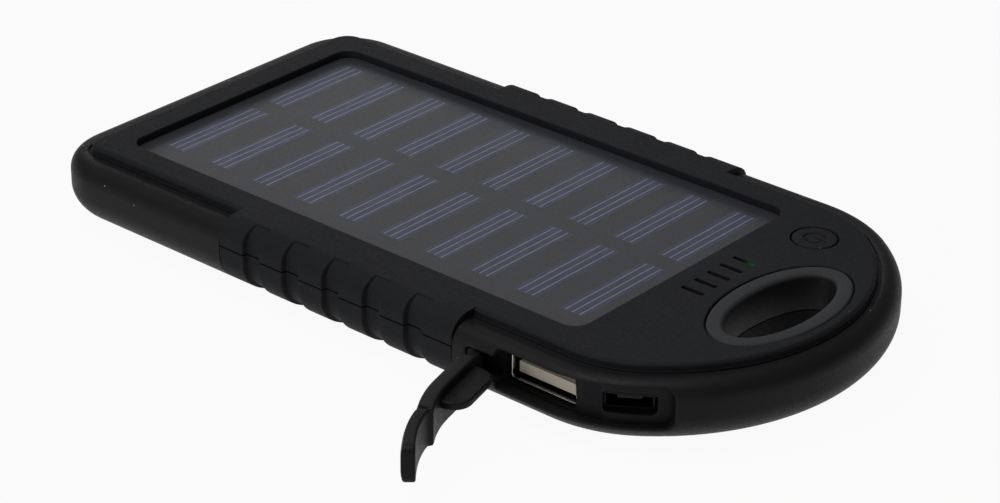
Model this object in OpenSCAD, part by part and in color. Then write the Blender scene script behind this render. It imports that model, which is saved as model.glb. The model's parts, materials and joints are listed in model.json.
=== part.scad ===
// Solar phone charger: a flat power bank, square at one end and round at the other.
// X runs from the square end to the round end, Y across, Z up. The origin is the centre of the base.
// An offset o is measured outwards from the bumpers' widest outline, so pieces inside have o below 0.

/* [Overall] */
// Length over both bumpers
body_len = 142; // [130:0.1:172]
// Width over both bumpers
body_wid = 75; // [72:0.1:92]
// Thickness from the base to the top face
body_thk = 13.5; // [13.2:0.1:16]

/* [Outline] */
// Plan radius of the square end's corners
corner_r = 11.5; // [11.2:0.1:14]
// How far the shoulder arcs' centres lie from the centreline
shoulder_inset = 13.2; // [10:0.4:14.4]
// How much thinner the bumper is at the round end's tip
tip_thin = 1.2; // [0:0.1:1.4]
// Height at which the side starts to round in towards the base
side_low = 6.8; // [6:0.1:6.9]
// Height at which the side starts to round in towards the top
side_high = 9; // [8.4:0.1:9.4]
// How far the flat base lies inside the outline
base_inset = 9.8; // [9:0.1:10.2]

/* [Shells] */
// Wall of both shells
wall = 1.6; // [1.2:0.02:2]
// Thickness of the top face
face_thk = 1.2; // [1:0.02:1.5]
// Thickness of the base
base_thk = 1.6; // [1.2:0.02:2]
// Height of the joint between the shells
part_z = 7; // [6.9:0.1:7.6]
// Depth of the groove between top face and bumper
groove_drop = 1.1; // [0.8:0.05:1.4]
// Rounding of the top face's edge
edge_r = 1.1; // [0.6:0.05:1.1]

/* [Bumpers] */
// Length of the square end's bumper along the sides
square_bumper_len = 42.9; // [36:0.1:48]
// How far the round end's bumper runs past the flap's neck
bumper_past_neck = 4.5; // [3.6:0.1:8]
// How far the bumper's lip reaches over the upper shell
bumper_lip = 1.3; // [0.8:0.05:1.6]
// Height of the bumper's top under the top face
bumper_drop = 0.75; // [0.6:0.05:1]
// Groove between the bumper's lip and the top face
lip_gap = 0.15; // [0.1:0.01:0.3]
// Seam between a bumper and the ribs
seam = 0.15; // [0.05:0.01:0.3]

/* [Ribs] */
// Ribs on each side
rib_count = 6; // [4:1:7]
// Height of a rib over its valley
rib_height = 0.9; // [0.5:0.05:1.2]
// Width of the first rib
rib_first = 5.4; // [4.6:0.1:8]
// Pitch of the last rib, up to the round end's bumper
rib_last = 9.9; // [7:0.1:11]
// Width of the valley between ribs
rib_valley = 3.4; // [2.5:0.1:4]

/* [Solar panel] */
// Top face left of the window, measured from the square end
bezel_end = 10.6; // [10.2:0.1:14]
// Top face beside the window, measured from the outline
bezel_side = 10.5; // [10.1:0.1:13]
// Length of the tail beyond the window
tail_len = 32.6; // [31.6:0.1:36]
// Corner radius of the window
window_r = 3; // [1:0.1:5]
// How far the panel reaches under the window's rim
panel_overlap = 1.5; // [1:0.05:1.8]
// Thickness of the adhesive frame
tape_thk = 0.2; // [0.1:0.05:0.3]
// Thickness of the clear cover
cover_thk = 0.4; // [0.3:0.05:0.6]
// Thickness of the cell strips
cell_thk = 0.2; // [0.15:0.05:0.3]
// Thickness of the panel's board
panel_board_thk = 0.6; // [0.5:0.05:0.7]
// Rows of cell strips
cell_rows = 10; // [6:1:12]
// Width of a cell strip
cell_wid = 4.3; // [3:0.1:5]
// Gap between the two columns of strips
column_gap = 3.6; // [2:0.1:5]
// From the window's ends to the middle of the outer rows
row_margin = 5.5; // [4:0.1:8]
// From the window's sides to the strips
column_margin = 4.5; // [3:0.1:6]
// How far the strips are printed off the centreline
cell_shift = 1; // [-1:0.1:1]

/* [Carabiner eye] */
// Centre of the eye, from the round end's tip
eye_from_tip = 14.3; // [14:0.1:15]
// Outside length of the ring, across the body
eye_len = 30.9; // [26:0.1:32]
// Outside width of the ring, along the body
eye_wid = 16.8; // [14:0.1:17.2]
// Width of the ring's band
ring_band = 2.8; // [2:0.05:3.4]
// Gap round the ring in the top face
ring_gap = 0.15; // [0.05:0.01:0.3]

/* [Button and lights] */
// Radius of the button
button_r = 3.7; // [3:0.05:4.6]
// Gap round the button
button_gap = 0.3; // [0.2:0.01:0.35]
// Button's centre from the round end's tip
button_from_tip = 23.6; // [22:0.1:24.6]
// Button's centre inwards from the round end's arc
button_inset = 12.9; // [12.4:0.1:14]
// Travel of the button
button_travel = 0.4; // [0.2:0.05:0.5]
// Number of level lights
light_count = 5; // [3:1:6]
// Spacing of the level lights
light_pitch = 3.33; // [2.5:0.01:3.6]
// Length of a light slot
light_len = 4.2; // [3:0.1:4.6]
// Width of a light slot
light_wid = 0.9; // [0.7:0.05:1.2]
// Middle of the light slots from the round end's tip
light_from_tip = 27.2; // [26.6:0.1:27.8]
// How far the row of lights lies off the centreline
light_shift = 1.3; // [-2:0.1:2]
// How deep the lights sit in their slots
light_sink = 0.6; // [0.2:0.05:1]

/* [Ports] */
// Middle of the large port back from where the shoulder's arc begins
usb_from_shoulder = 2.7; // [2.2:0.1:3.2]
// Outside width of the large port's shell
usb_w = 13.1; // [12.6:0.02:15.8]
// Outside height of the large port's shell
usb_h = 5.7; // [5.2:0.02:5.8]
// Depth of the large port's shell
usb_depth = 14; // [10:0.1:15]
// Height of the large port's middle
usb_z = 7.85; // [7.4:0.05:7.9]
// How far the large port lies inside the outline
usb_inset = 4.1; // [3.9:0.05:4.6]
// Direction of the small port, down from the X axis
micro_angle = 55; // [53:0.5:57]
// Outside width of the small port's shell
micro_w = 7.6; // [7:0.05:8]
// Outside height of the small port's shell
micro_h = 2.6; // [2.2:0.05:2.9]
// Depth of the small port's shell
micro_depth = 5; // [4:0.1:6]
// How far the small port lies inside the outline
micro_inset = 4.2; // [4:0.05:4.8]
// Sheet of both ports' shells
port_sheet = 0.3; // [0.2:0.02:0.4]

/* [Port flap] */
// Lower edge of the flap
flap_low = 4.6; // [4.2:0.1:5]
// Upper edge of the flap
flap_high = 10.9; // [10.4:0.1:11]
// Thickness of the flap over the large port
flap_thk = 2.8; // [2.2:0.02:3.4]
// Thickness of the flap's tip, over the small port
flap_tip_thk = 2.2; // [2:0.02:2.6]
// Clearance of the flap in its recess
flap_gap = 0.3; // [0.2:0.02:0.4]
// Flap's neck from the large port's side
neck_from_port = 4.05; // [3.6:0.05:4.5]
// Radius of the flap's neck
neck_r = 1; // [0.8:0.05:1.1]
// How deep the neck's axis lies inside the outline
neck_depth = 1.2; // [1.2:0.05:1.6]
// Length of the neck's strap, up to the flap's full height
neck_len = 4.2; // [3.8:0.1:4.6]
// Height of the neck's strap
neck_h = 3.2; // [2.6:0.1:4]
// Level of the strap's middle
neck_z = 8; // [7.6:0.05:8.2]
// Where the flap folds, round the shoulder from its beginning
fold_angle = 20.5; // [18:0.5:23]
// Radius of the knuckle in the flap's fold
fold_r = 0.9; // [0.7:0.05:0.9]
// Where the flap ends on the round end, down from the X axis
flap_end_angle = 45.5; // [45:0.5:48]
// How far the flap stands open
flap_open = 75; // [0:1:95]
// How far the flap's tip is folded back
fold_open = 17; // [0:1:40]
// Clearance of the flap's plug beside the large port's walls
plug_gap = 0.35; // [0.3:0.05:0.6]
// Clearance of the flap's plug over the large port's tongue
plug_rest = 0.25; // [0.2:0.05:0.6]
// How far the flap's plug stands out
plug_depth = 4; // [3:0.1:4.4]
// Thickness of the flap's plug
plug_thk = 1.3; // [0.7:0.05:1.6]
// Rounding of the plug's corners in plan
plug_r = 3; // [2.6:0.1:3.6]

/* [Electronics] */
// Thickness of the main board
board_thk = 1; // [0.8:0.05:1.2]
// Underside of the main board
board_z = 5; // [4.6:0.05:5.2]
// Square end of the main board from the middle of the large port
board_from_port = 7; // [6.8:0.1:8]
// Space between the cell and the shell, at its sides
battery_side_gap = 2.5; // [2:0.1:4]
// Space between the cell and the square end's wall
battery_end_gap = 7; // [6.5:0.1:9]
// Foam under the cell
pad_low = 0.3; // [0.2:0.05:0.6]
// Foam over the cell
pad_high = 0.5; // [0.2:0.05:0.6]
// Radius of a lead
lead_r = 0.6; // [0.4:0.05:0.8]

/* [Screws] */
// Radius of a case screw's shank
screw_r = 1; // [0.8:0.05:1.2]
// Radius of a case screw's head
screw_head_r = 1.6; // [1.4:0.05:1.7]
// Height of a screw's head
screw_head_h = 1.1; // [0.8:0.05:1.2]
// Wall of a screw boss
boss_wall = 1.2; // [1.1:0.05:1.3]
// Clearance of screws and small fitted pieces
fit_gap = 0.08; // [0.04:0.01:0.1]

/* [Hidden] */
$fn = 64;

// Outline: shoulder arcs and a tip arc make the round end. They meet on a line through both centres
// that rises 4 for every 3 along, so the tip arc is flatter than a half circle by a quarter of the inset
half_len = body_len / 2;
half_wid = body_wid / 2;
tip_r = half_wid + shoulder_inset / 4;
shoulder_r = half_wid - shoulder_inset;
tip_angle = atan2(4, 3);
tip_x = half_len - tip_r;
shoulder_x = tip_x + 3 / 4 * shoulder_inset;
corner_x = -half_len + corner_r;
corner_y = half_wid - corner_r;
rib_start = -half_len + square_bumper_len;

// Depths inwards from the outline
bumper_depth = flap_thk + 2 * flap_gap;
wall_inner = bumper_depth + wall;
lip_inner = bumper_depth + bumper_lip;
corner_block = wall_inner + wall;
rim_reach = 3.5;
plate_lap = 1;
rim_strip = lip_inner + rim_reach;
plate_inset = rim_strip - plate_lap;
base_reach = 0.9;
base_lap = 0.5;
base_strip = base_inset + base_reach;
base_plate_inset = base_strip - base_lap;
inner_chamfer = 1.2;
bumper_run = 4.3;

// Heights of the stacked layers
face_z = body_thk - face_thk;
lip_seat = 0.5;
lip_z = body_thk - groove_drop - lip_seat;
bumper_top = body_thk - bumper_drop;
panel_top = face_z - tape_thk;
cells_top = panel_top - cover_thk;
cells_low = cells_top - cell_thk;
panel_low = cells_low - panel_board_thk;
board_top = board_z + board_thk;

// Panel in plan
window_x0 = -half_len + bezel_end;
window_x1 = half_len - tail_len;
window_len = window_x1 - window_x0;
window_wid = body_wid - 2 * bezel_side;
row_pitch = (window_len - 2 * row_margin) / (cell_rows - 1);
cell_len = (window_wid - 2 * column_margin - column_gap) / 2;

// Tail in plan
eye_x = half_len - eye_from_tip;
button_x = half_len - button_from_tip;
button_y = sqrt(pow(tip_r - button_inset, 2) - pow(button_x - tip_x, 2));
light_x = half_len - light_from_tip;
usb_x = shoulder_x - usb_from_shoulder;
usb_front = -half_wid + usb_inset;
usb_back = usb_front + usb_depth;
usb_low = usb_z - usb_h / 2;
usb_inner_w = usb_w - 2 * port_sheet;
tongue_side = 0.65;
tongue_set = 0.9;
tongue_rise = 0.75;
tongue_z = usb_low + port_sheet + tongue_rise;
tongue_thk = 1.84;
tongue_back = 9.5;
contact_set = 3.3;
contact_wid = 1;
contact_thk = 0.25;
port_side = 0.35;
port_lift = 0.3;
micro_low = board_top;
micro_z = micro_low + micro_h / 2;
micro_mouth = tip_r - micro_inset;
micro_reach = 3;

// Flap: it turns about its neck, and its tip about a fold on the shoulder
hinge_x = usb_x - usb_w / 2 - neck_from_port;
hinge_y = -half_wid + neck_depth;
rib_end = hinge_x - bumper_past_neck;
strap_thk = 1.6 * neck_r;
neck_swing = 0.7;
neck_low = neck_z - neck_h / 2;
neck_room = neck_r + neck_swing;
flap_x0 = hinge_x + neck_len;
flap_inner_y = -half_wid + flap_thk;
flap_root = 0.5;
fold_arm = shoulder_r - flap_tip_thk / 2;
fold_x = shoulder_x + fold_arm * sin(fold_angle);
fold_y = -shoulder_inset - fold_arm * cos(fold_angle);
fold_len = 1.5 * fold_r;
flap_end_x = tip_x + tip_r * cos(flap_end_angle);
flap_end_y = -tip_r * sin(flap_end_angle);
tip_reach = norm([flap_end_x - fold_x, flap_end_y - fold_y]);
recess_x0 = flap_x0 - 1.5 * flap_gap;
recess_low = flap_low - flap_gap;
recess_high = flap_high + flap_gap;

// Button stack over the switch
flange_drop = 0.3;
flange_thk = 0.8;
flange_reach = 1;
stem_len = 0.9;
stem_r = 1.5;
plunger_r = 1.2;
plunger_len = 1.3;
plunger_show = 0.7;
switch_side = 6;
flange_top = face_z - flange_drop;
flange_r = button_r + flange_reach;
plunger_top = flange_top - flange_thk - stem_len;
switch_top = plunger_top - plunger_show;
switch_bore_r = plunger_r + button_gap;

// Screws
boss_r = screw_r + boss_wall;
head_gap = 0.15;
head_sink = 1.2;
boss_low = base_thk - 0.05;
screw_cover = 1.5;
counterbore_r = screw_head_r + head_gap;
counterbore_h = screw_head_h + head_sink;
screw_tip = face_z - screw_cover;
tail_screw_inset = 0.9;
tail_screw_r = tip_r - wall_inner - tail_screw_inset;
tail_screw_angle = 34;
tail_screw_x = tip_x + tail_screw_r * cos(tail_screw_angle);
tail_screw_y = tail_screw_r * sin(tail_screw_angle);
corner_screw_inset = 8.2;
corner_screw_x = -half_len + corner_screw_inset;
corner_screw_y = half_wid - corner_screw_inset;
case_screw_pts = [
    [corner_screw_x, corner_screw_y], [corner_screw_x, -corner_screw_y],
    [tail_screw_x, tail_screw_y], [tail_screw_x, -tail_screw_y]
];

// Main board, from the large port to the bosses of the tail's screws
board_boss_gap = 0.9;
board_x0 = usb_x - board_from_port;
board_x1 = tail_screw_x - boss_r - board_boss_gap;
board_screw_x = board_x0 + 3;
board_screw_pts = [[board_screw_x, half_wid - 11], [board_screw_x, usb_back + 4.5]];
board_screw_r = 0.8;
board_screw_head_r = 1.5;
board_boss_r = 2;
board_screw_tip = base_thk + 0.6;

// Battery bay
battery_board_gap = 3;
pad_air = 0.2;
battery_x0 = -half_len + wall_inner + battery_end_gap;
battery_x1 = board_x0 - battery_board_gap;
battery_wid = 2 * (half_wid - wall_inner - battery_side_gap);
battery_low = base_thk + pad_low;
battery_top = panel_low - pad_air - pad_high;
battery_r = 2;
tab_len = 0.5;
protection_x = battery_x1 + tab_len;
protection_thk = 0.8;
lead_y = 8;

// Points along an arc, without its ends when trimmed
function arc_points(c, r, a0, a1, n, trim = 0) =
    [for (i = [trim : n - trim]) c + r * [cos(a0 + (a1 - a0) * i / n), sin(a0 + (a1 - a0) * i / n)]];

// The outline drawn in by an inset
function plan_points(inset, shift) = concat(
    arc_points([corner_x, -corner_y], corner_r - inset, 180, 270, 6),
    arc_points([shoulder_x + shift, -shoulder_inset], shoulder_r - inset, -90, -tip_angle, 4),
    arc_points([tip_x + shift, 0], tip_r - inset, -tip_angle, tip_angle, 18, 1),
    arc_points([shoulder_x + shift, shoulder_inset], shoulder_r - inset, tip_angle, 90, 4),
    arc_points([corner_x, corner_y], corner_r - inset, 90, 180, 6)
);

function ellipse_points(a, b, n = 48) =
    [for (i = [0 : n - 1]) [a * cos(360 * i / n), b * sin(360 * i / n)]];

// A profile's points are rounded to a thousandth, so that runs along a side and round an arc meet exactly
function rounded(v) = round(1000 * v) / 1000;

// Part of an ellipse of offsets and heights, from angle a0 to a1
function bend(o, z, run, rise, a0, a1, n = 6) = [
    for (i = [0 : n])
        let (a = a0 + (a1 - a0) * i / n)
            [rounded(o + run * cos(a)), rounded(z + rise * sin(a))]
];

// Angle on the base's rounding at which it has come in by a depth
function base_angle(depth) = -acos((base_inset - depth) / base_inset);

// Side's offset at a height
function side_o(z) =
    z < side_low ? -base_inset * (1 - sqrt(1 - pow((side_low - z) / side_low, 2))) :
    z > side_high ? -bumper_run * (1 - sqrt(1 - pow((z - side_high) / (bumper_top - side_high), 2))) : 0;

// A profile of offsets and heights carried along the near side
module side_run(x0, x1, profile) {
    translate([x0, 0, 0])
        rotate([90, 0, 90])
            linear_extrude(x1 - x0)
                polygon([for (p = profile) [-half_wid - p[0], p[1]]]);
}

// The same profile carried round an arc of the outline
module arc_run(c, r, a0, a1, profile) {
    translate([c[0], c[1], 0])
        rotate([0, 0, a0])
            rotate_extrude(angle = a1 - a0, $fn = 96)
                polygon([for (p = profile) [r + p[0], p[1]]]);
}

// Square end with its corners
module square_end_run(profile) {
    for (m = [0, 1])
        mirror([0, m, 0])
            arc_run([corner_x, -corner_y], corner_r, 180, 270, profile);
    translate([0, corner_y, 0])
        rotate([90, 0, 0])
            linear_extrude(2 * corner_y)
                polygon([for (p = profile) [-half_len - p[0], p[1]]]);
}

// Near shoulder, up to the line on which it meets the tip
module shoulder_run(profile, shift) {
    drop = 4 * half_wid;
    intersection() {
        arc_run([shoulder_x + shift, -shoulder_inset], shoulder_r, -90, -20, profile);
        translate([tip_x + shift, 0, -body_thk])
            linear_extrude(3 * body_thk)
                polygon([[0, 0], [-body_len, 0], [-body_len, -drop], [3 / 4 * drop, -drop]]);
    }
}

// Tip from the near shoulder to an angle past the far shoulder or short of it
module tip_run(profile, shift, end_angle) {
    drop = 4 * half_wid;
    intersection() {
        arc_run([tip_x + shift, 0], tip_r, -90, end_angle, profile);
        translate([tip_x + shift, 0, -body_thk])
            linear_extrude(3 * body_thk)
                polygon([[0, 0], [3 / 4 * drop, -drop], [2 * drop, 0], [3 / 4 * drop, drop]]);
    }
}

module round_end_run(x0, profile, shift) {
    for (m = [0, 1]) {
        mirror([0, m, 0]) {
            side_run(x0, shoulder_x + shift, profile);
            shoulder_run(profile, shift);
        }
    }
    tip_run(profile, shift, 90);
}

module plate(inset, shift, z0, z1) {
    translate([0, 0, z0])
        linear_extrude(z1 - z0)
            polygon(plan_points(inset, shift));
}

// A shell's rim all the way round, with ribs along the sides: the ribs stand out of a valley
module shell_run(rim, valley, ridge, shift) {
    pitch = (rib_end - rib_start - rib_first - rib_last) / (rib_count - 2);
    square_end_run(rim);
    round_end_run(rib_end, rim, shift);
    for (m = [0, 1]) {
        mirror([0, m, 0]) {
            side_run(corner_x, rib_start, rim);
            side_run(rib_start, rib_start + rib_first, ridge);
            for (i = [0 : rib_count - 2])
                side_run(rib_start + rib_first + i * pitch,
                    rib_start + rib_first + i * pitch + rib_valley, valley);
            for (i = [0 : rib_count - 3])
                side_run(rib_start + rib_first + i * pitch + rib_valley,
                    rib_start + rib_first + (i + 1) * pitch, ridge);
            side_run(rib_end - rib_last + rib_valley, rib_end, ridge);
        }
    }
}

module rounded_block(x0, x1, wid, r, z0, z1) {
    translate([0, 0, z0]) {
        translate([x0, -wid / 2 + r, 0])
            cube([x1 - x0, wid - 2 * r, z1 - z0]);
        translate([x0 + r, -wid / 2, 0])
            cube([x1 - x0 - 2 * r, wid, z1 - z0]);
        for (x = [x0 + r, x1 - r], y = [-wid / 2 + r, wid / 2 - r])
            translate([x, y, 0])
                cylinder(r = r, h = z1 - z0);
    }
}

module oval(a, b, z0, z1) {
    translate([eye_x, 0, z0])
        linear_extrude(z1 - z0)
            polygon(ellipse_points(a, b));
}

// Room that both ports and the flap need in the shells
module port_room() {
    out = 2;
    floor_gap = 0.1;
    room_o = -flap_thk - flap_gap - floor_gap;
    room = [
        [room_o, recess_low],
        [out, recess_low],
        [out, recess_high],
        [room_o, recess_high]
    ];
    shoulder_run(room, 0);
    tip_run(room, 0, -flap_end_angle + 1);
    translate([usb_x - usb_w / 2 - port_side, -half_wid - out, usb_low - port_lift])
        cube([usb_w + 2 * port_side, wall_inner + out + wall, usb_h + 2 * port_lift]);
    rotate_about_tip(micro_angle)
        translate([micro_mouth - micro_reach, -micro_w / 2 - 2 * port_side, micro_low - port_lift])
            cube([micro_inset + micro_reach + out, micro_w + 4 * port_side, micro_h + 2 * port_lift]);
}

module rotate_about_tip(angle) {
    translate([tip_x, 0, 0])
        rotate([0, 0, -angle])
            children();
}

module upper_shell() {
    rim = concat(
        [[-wall_inner, part_z], [-bumper_depth, part_z], [-bumper_depth, lip_z], [-lip_inner, lip_z]],
        bend(-lip_inner - edge_r, body_thk - edge_r, edge_r, edge_r, 0, 90, 4),
        [[-rim_strip, body_thk], [-rim_strip, face_z], [-corner_block, face_z]],
        [[-corner_block, lip_z - 1], [-wall_inner, lip_z - 1]]
    );
    rib_run = lip_inner + 0.7;
    rib_rise = body_thk - side_high;
    inside = [[-rim_strip, body_thk], [-rim_strip, face_z], [-wall_inner, face_z], [-wall_inner, part_z]];
    valley = concat([[-rib_height, part_z]],
        bend(-rib_run, side_high, rib_run - rib_height, rib_rise, 0, 90), inside);
    ridge = concat([[0, part_z]], bend(-rib_run, side_high, rib_run, rib_rise, 0, 90), inside);
    color("#1b1c1f")
        difference() {
            union() {
                shell_run(rim, valley, ridge, tip_thin);
                plate(plate_inset, tip_thin, face_z, body_thk);
                for (p = case_screw_pts)
                    translate([p[0], p[1], part_z])
                        cylinder(r = boss_r, h = face_z - part_z + 0.2);
            }
            rounded_block(window_x0, window_x1, window_wid, window_r, face_z - 1, body_thk + 1);
            oval(eye_wid / 2 + ring_gap, eye_len / 2 + ring_gap, part_z - 1, body_thk + 1);
            translate([button_x, button_y, face_z - 1])
                cylinder(r = button_r + button_gap, h = face_thk + 2);
            for (i = [0 : light_count - 1])
                translate([light_x - light_len / 2, light_y(i) - light_wid / 2, face_z - 1])
                    cube([light_len, light_wid, face_thk + 2]);
            for (p = case_screw_pts)
                translate([p[0], p[1], part_z - 1])
                    cylinder(r = screw_r + fit_gap, h = screw_tip - part_z + 1.5);
            port_room();
        }
}

function light_y(i) = light_shift + (i - (light_count - 1) / 2) * light_pitch;

module lower_shell() {
    inside = [
        [-base_strip, 0], [-base_strip, base_thk], [-wall_inner - inner_chamfer, base_thk],
        [-wall_inner, base_thk + inner_chamfer], [-wall_inner, part_z]
    ];
    rim = concat([[-bumper_depth, part_z]],
        bend(-base_inset, side_low, base_inset, side_low, base_angle(bumper_depth), -90), inside);
    valley = concat([[-rib_height, part_z]],
        bend(-base_inset, side_low, base_inset - rib_height, side_low, 0, -90), inside);
    ridge = concat([[0, part_z]], bend(-base_inset, side_low, base_inset, side_low, 0, -90), inside);
    color("#1b1c1f")
        difference() {
            union() {
                shell_run(rim, valley, ridge, 0);
                plate(base_plate_inset, 0, 0, base_thk);
                oval(eye_wid / 2, eye_len / 2, base_thk / 2, part_z);
                for (p = case_screw_pts)
                    translate([p[0], p[1], boss_low])
                        cylinder(r = boss_r, h = part_z - boss_low);
                for (p = board_screw_pts)
                    translate([p[0], p[1], base_thk / 2])
                        cylinder(r = board_boss_r, h = board_z - base_thk / 2);
            }
            oval(eye_wid / 2 - ring_band, eye_len / 2 - ring_band, -1, part_z + 1);
            for (p = case_screw_pts) {
                translate([p[0], p[1], -1])
                    cylinder(r = screw_r + fit_gap, h = part_z + 2);
                translate([p[0], p[1], -1])
                    cylinder(r = counterbore_r, h = counterbore_h + 1);
            }
            for (p = board_screw_pts)
                translate([p[0], p[1], board_screw_tip - 0.3])
                    cylinder(r = board_screw_r + fit_gap, h = board_z);
            port_room();
        }
}

// The bumpers' rounded outside, from the lip down to the base's rounding
function bumper_side() = concat(
    bend(-bumper_run, side_high, bumper_run, bumper_top - side_high, 90, 0, 7),
    bend(-base_inset, side_low, base_inset, side_low, 0, base_angle(bumper_depth), 7)
);

module square_end_bumper() {
    lip = lip_inner - lip_gap;
    profile = concat([[-bumper_depth, lip_z], [-lip, lip_z], [-lip, bumper_top - 0.1]], bumper_side());
    color("#1f1f1f") {
        square_end_run(profile);
        for (m = [0, 1])
            mirror([0, m, 0])
                side_run(corner_x, rib_start - seam, profile);
    }
}

module round_end_bumper() {
    fill = lip_inner + 2;
    filled = concat([[-fill, lip_z - 1], [-fill, bumper_top - 0.1]], bumper_side(), [[-fill, side_low]]);
    lip = lip_inner - lip_gap;
    lower_side = [[-fill - 2, -1], [-bumper_depth, -1], [-bumper_depth, part_z], [-fill - 2, part_z]];
    upper_side = [
        [-fill - 2, part_z], [-bumper_depth, part_z], [-bumper_depth, lip_z], [-lip, lip_z],
        [-lip, body_thk + 1], [-fill - 2, body_thk + 1]
    ];
    color("#1f1f1f")
        difference() {
            round_end_run(rib_end + seam, filled, 0);
            round_end_run(rib_end, lower_side, 0);
            round_end_run(rib_end, upper_side, tip_thin);
            flap_recess();
        }
}

// Room for the flap in the bumper, with an end wall that the tip clears as it turns about its fold
module flap_recess() {
    deep = half_wid / 2;
    out = 5;
    tall = recess_high - recess_low;
    translate([recess_x0, -half_wid - out, recess_low])
        cube([fold_x - recess_x0, deep, tall]);
    translate([hinge_x - neck_room, -half_wid - out, neck_low - flap_gap])
        cube([neck_room + neck_len, out + neck_depth + neck_r + flap_gap, neck_h + 2 * flap_gap]);
    intersection() {
        translate([fold_x - 1, -half_wid - out, recess_low])
            cube([half_len, deep, tall]);
        translate([fold_x, fold_y, 0])
            cylinder(r = tip_reach + flap_gap, h = body_thk, $fn = 128);
    }
}

// The flap's section: its outside follows the body's side
function flap_profile(thk) =
    let (steps = 9)
        concat(
            [for (i = [0 : steps])
                let (z = flap_low + (flap_high - flap_low) * i / steps)
                    [rounded(side_o(z)), z]],
            [[-thk, flap_high], [-thk, flap_low]]
        );

// Turned about the neck, as far as the flap stands open
module opened() {
    translate([hinge_x, hinge_y, 0])
        rotate([0, 0, -flap_open])
            translate([-hinge_x, -hinge_y, 0])
                children();
}

// Drawn from the fold, with X along the flap there
module at_fold(angle) {
    translate([fold_x, fold_y, 0])
        rotate([0, 0, angle])
            children();
}

module port_flap() {
    color("#1d1d1d")
        opened() {
            difference() {
                union() {
                    side_run(flap_x0, shoulder_x, flap_profile(flap_thk));
                    shoulder_run(flap_profile(flap_thk), 0);
                }
                at_fold(fold_angle) {
                    translate([0, -half_wid, -body_thk])
                        cube([body_len, body_wid, 3 * body_thk]);
                    translate([0, 0, -body_thk])
                        cylinder(r = fold_r + flap_gap, h = 3 * body_thk);
                }
            }
            translate([hinge_x, hinge_y, neck_low])
                cylinder(r = neck_r, h = neck_h);
            translate([hinge_x, hinge_y - strap_thk / 2, neck_low])
                cube([neck_len + flap_root, strap_thk, neck_h]);
            flap_plug();
        }
}

// A flat tab that goes into the large port over its tongue
module flap_plug() {
    plug_w = usb_inner_w - 2 * plug_gap;
    long = flap_root + plug_depth;
    translate([usb_x - plug_w / 2, flap_inner_y - flap_root, tongue_z + tongue_thk + plug_rest]) {
        cube([plug_w, long - plug_r, plug_thk]);
        translate([plug_r, 0, 0])
            cube([plug_w - 2 * plug_r, long, plug_thk]);
        for (x = [plug_r, plug_w - plug_r])
            translate([x, long - plug_r, 0])
                cylinder(r = plug_r, h = plug_thk);
    }
}

module flap_tip() {
    web = 1.2 * fold_r;
    color("#1d1d1d")
        opened()
            at_fold(fold_angle - fold_open) {
                translate([0, 0, flap_low])
                    cylinder(r = fold_r, h = flap_high - flap_low);
                translate([0, -web / 2, flap_low])
                    cube([fold_len + 1, web, flap_high - flap_low]);
                intersection() {
                    rotate([0, 0, -fold_angle])
                        translate([-fold_x, -fold_y, 0]) {
                            shoulder_run(flap_profile(flap_tip_thk), 0);
                            tip_run(flap_profile(flap_tip_thk), 0, -flap_end_angle);
                        }
                    translate([fold_len, -half_wid, -body_thk])
                        cube([body_len, body_wid, 3 * body_thk]);
                }
            }
}

module carabiner_ring() {
    color("#3a3b3e")
        difference() {
            oval(eye_wid / 2, eye_len / 2, part_z, body_thk);
            oval(eye_wid / 2 - ring_band, eye_len / 2 - ring_band, part_z - 1, body_thk + 1);
        }
}

module power_button() {
    mark_r = 1.9;
    mark_line = 0.35;
    mark_depth = 0.2;
    color("#1b1c1f")
        translate([button_x, button_y, 0])
            difference() {
                union() {
                    translate([0, 0, flange_top - 0.1])
                        cylinder(r = button_r, h = body_thk - flange_top + 0.1);
                    translate([0, 0, flange_top - flange_thk])
                        cylinder(r = flange_r, h = flange_thk);
                    translate([0, 0, plunger_top])
                        cylinder(r = stem_r, h = flange_top - plunger_top - 0.1);
                }
                translate([0, 0, body_thk - mark_depth])
                    rotate([0, 0, 30])
                        rotate_extrude(angle = 300)
                            translate([mark_r - mark_line, 0])
                                square([mark_line, 1]);
                translate([0, -mark_line / 2, body_thk - mark_depth])
                    cube([mark_r, mark_line, 1]);
            }
}

module switch_plunger() {
    color("black")
        translate([button_x, button_y, plunger_top - plunger_len])
            cylinder(r = plunger_r, h = plunger_len);
}

module tact_switch() {
    color("silver")
        difference() {
            translate([button_x - switch_side / 2, button_y - switch_side / 2, board_top])
                cube([switch_side, switch_side, switch_top - board_top]);
            translate([button_x, button_y, plunger_top - plunger_len - button_travel - button_gap])
                cylinder(r = switch_bore_r, h = 3);
        }
}

module solar_cells() {
    color("#2c3550")
        for (i = [0 : cell_rows - 1], side = [-1, 0])
            translate([window_x0 + row_margin + i * row_pitch - cell_wid / 2,
                cell_shift + side * (cell_len + column_gap) + column_gap / 2, cells_low])
                cube([cell_wid, cell_len, cell_thk]);
}

module panel_sheet(z0, z1) {
    rounded_block(window_x0 - panel_overlap, window_x1 + panel_overlap,
        window_wid + 2 * panel_overlap, window_r, z0, z1);
}

module panel_board() {
    color("#24262b")
        panel_sheet(panel_low, cells_low);
}

module panel_cover() {
    color("#8a93a5", 0.3)
        difference() {
            panel_sheet(cells_low, panel_top);
            for (i = [0 : cell_rows - 1], side = [-1, 0])
                translate([window_x0 + row_margin + i * row_pitch - cell_wid / 2 - fit_gap,
                    cell_shift + side * (cell_len + column_gap) + column_gap / 2 - fit_gap, cells_low - 1])
                    cube([cell_wid + 2 * fit_gap, cell_len + 2 * fit_gap, cell_thk + 1]);
        }
}

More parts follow.
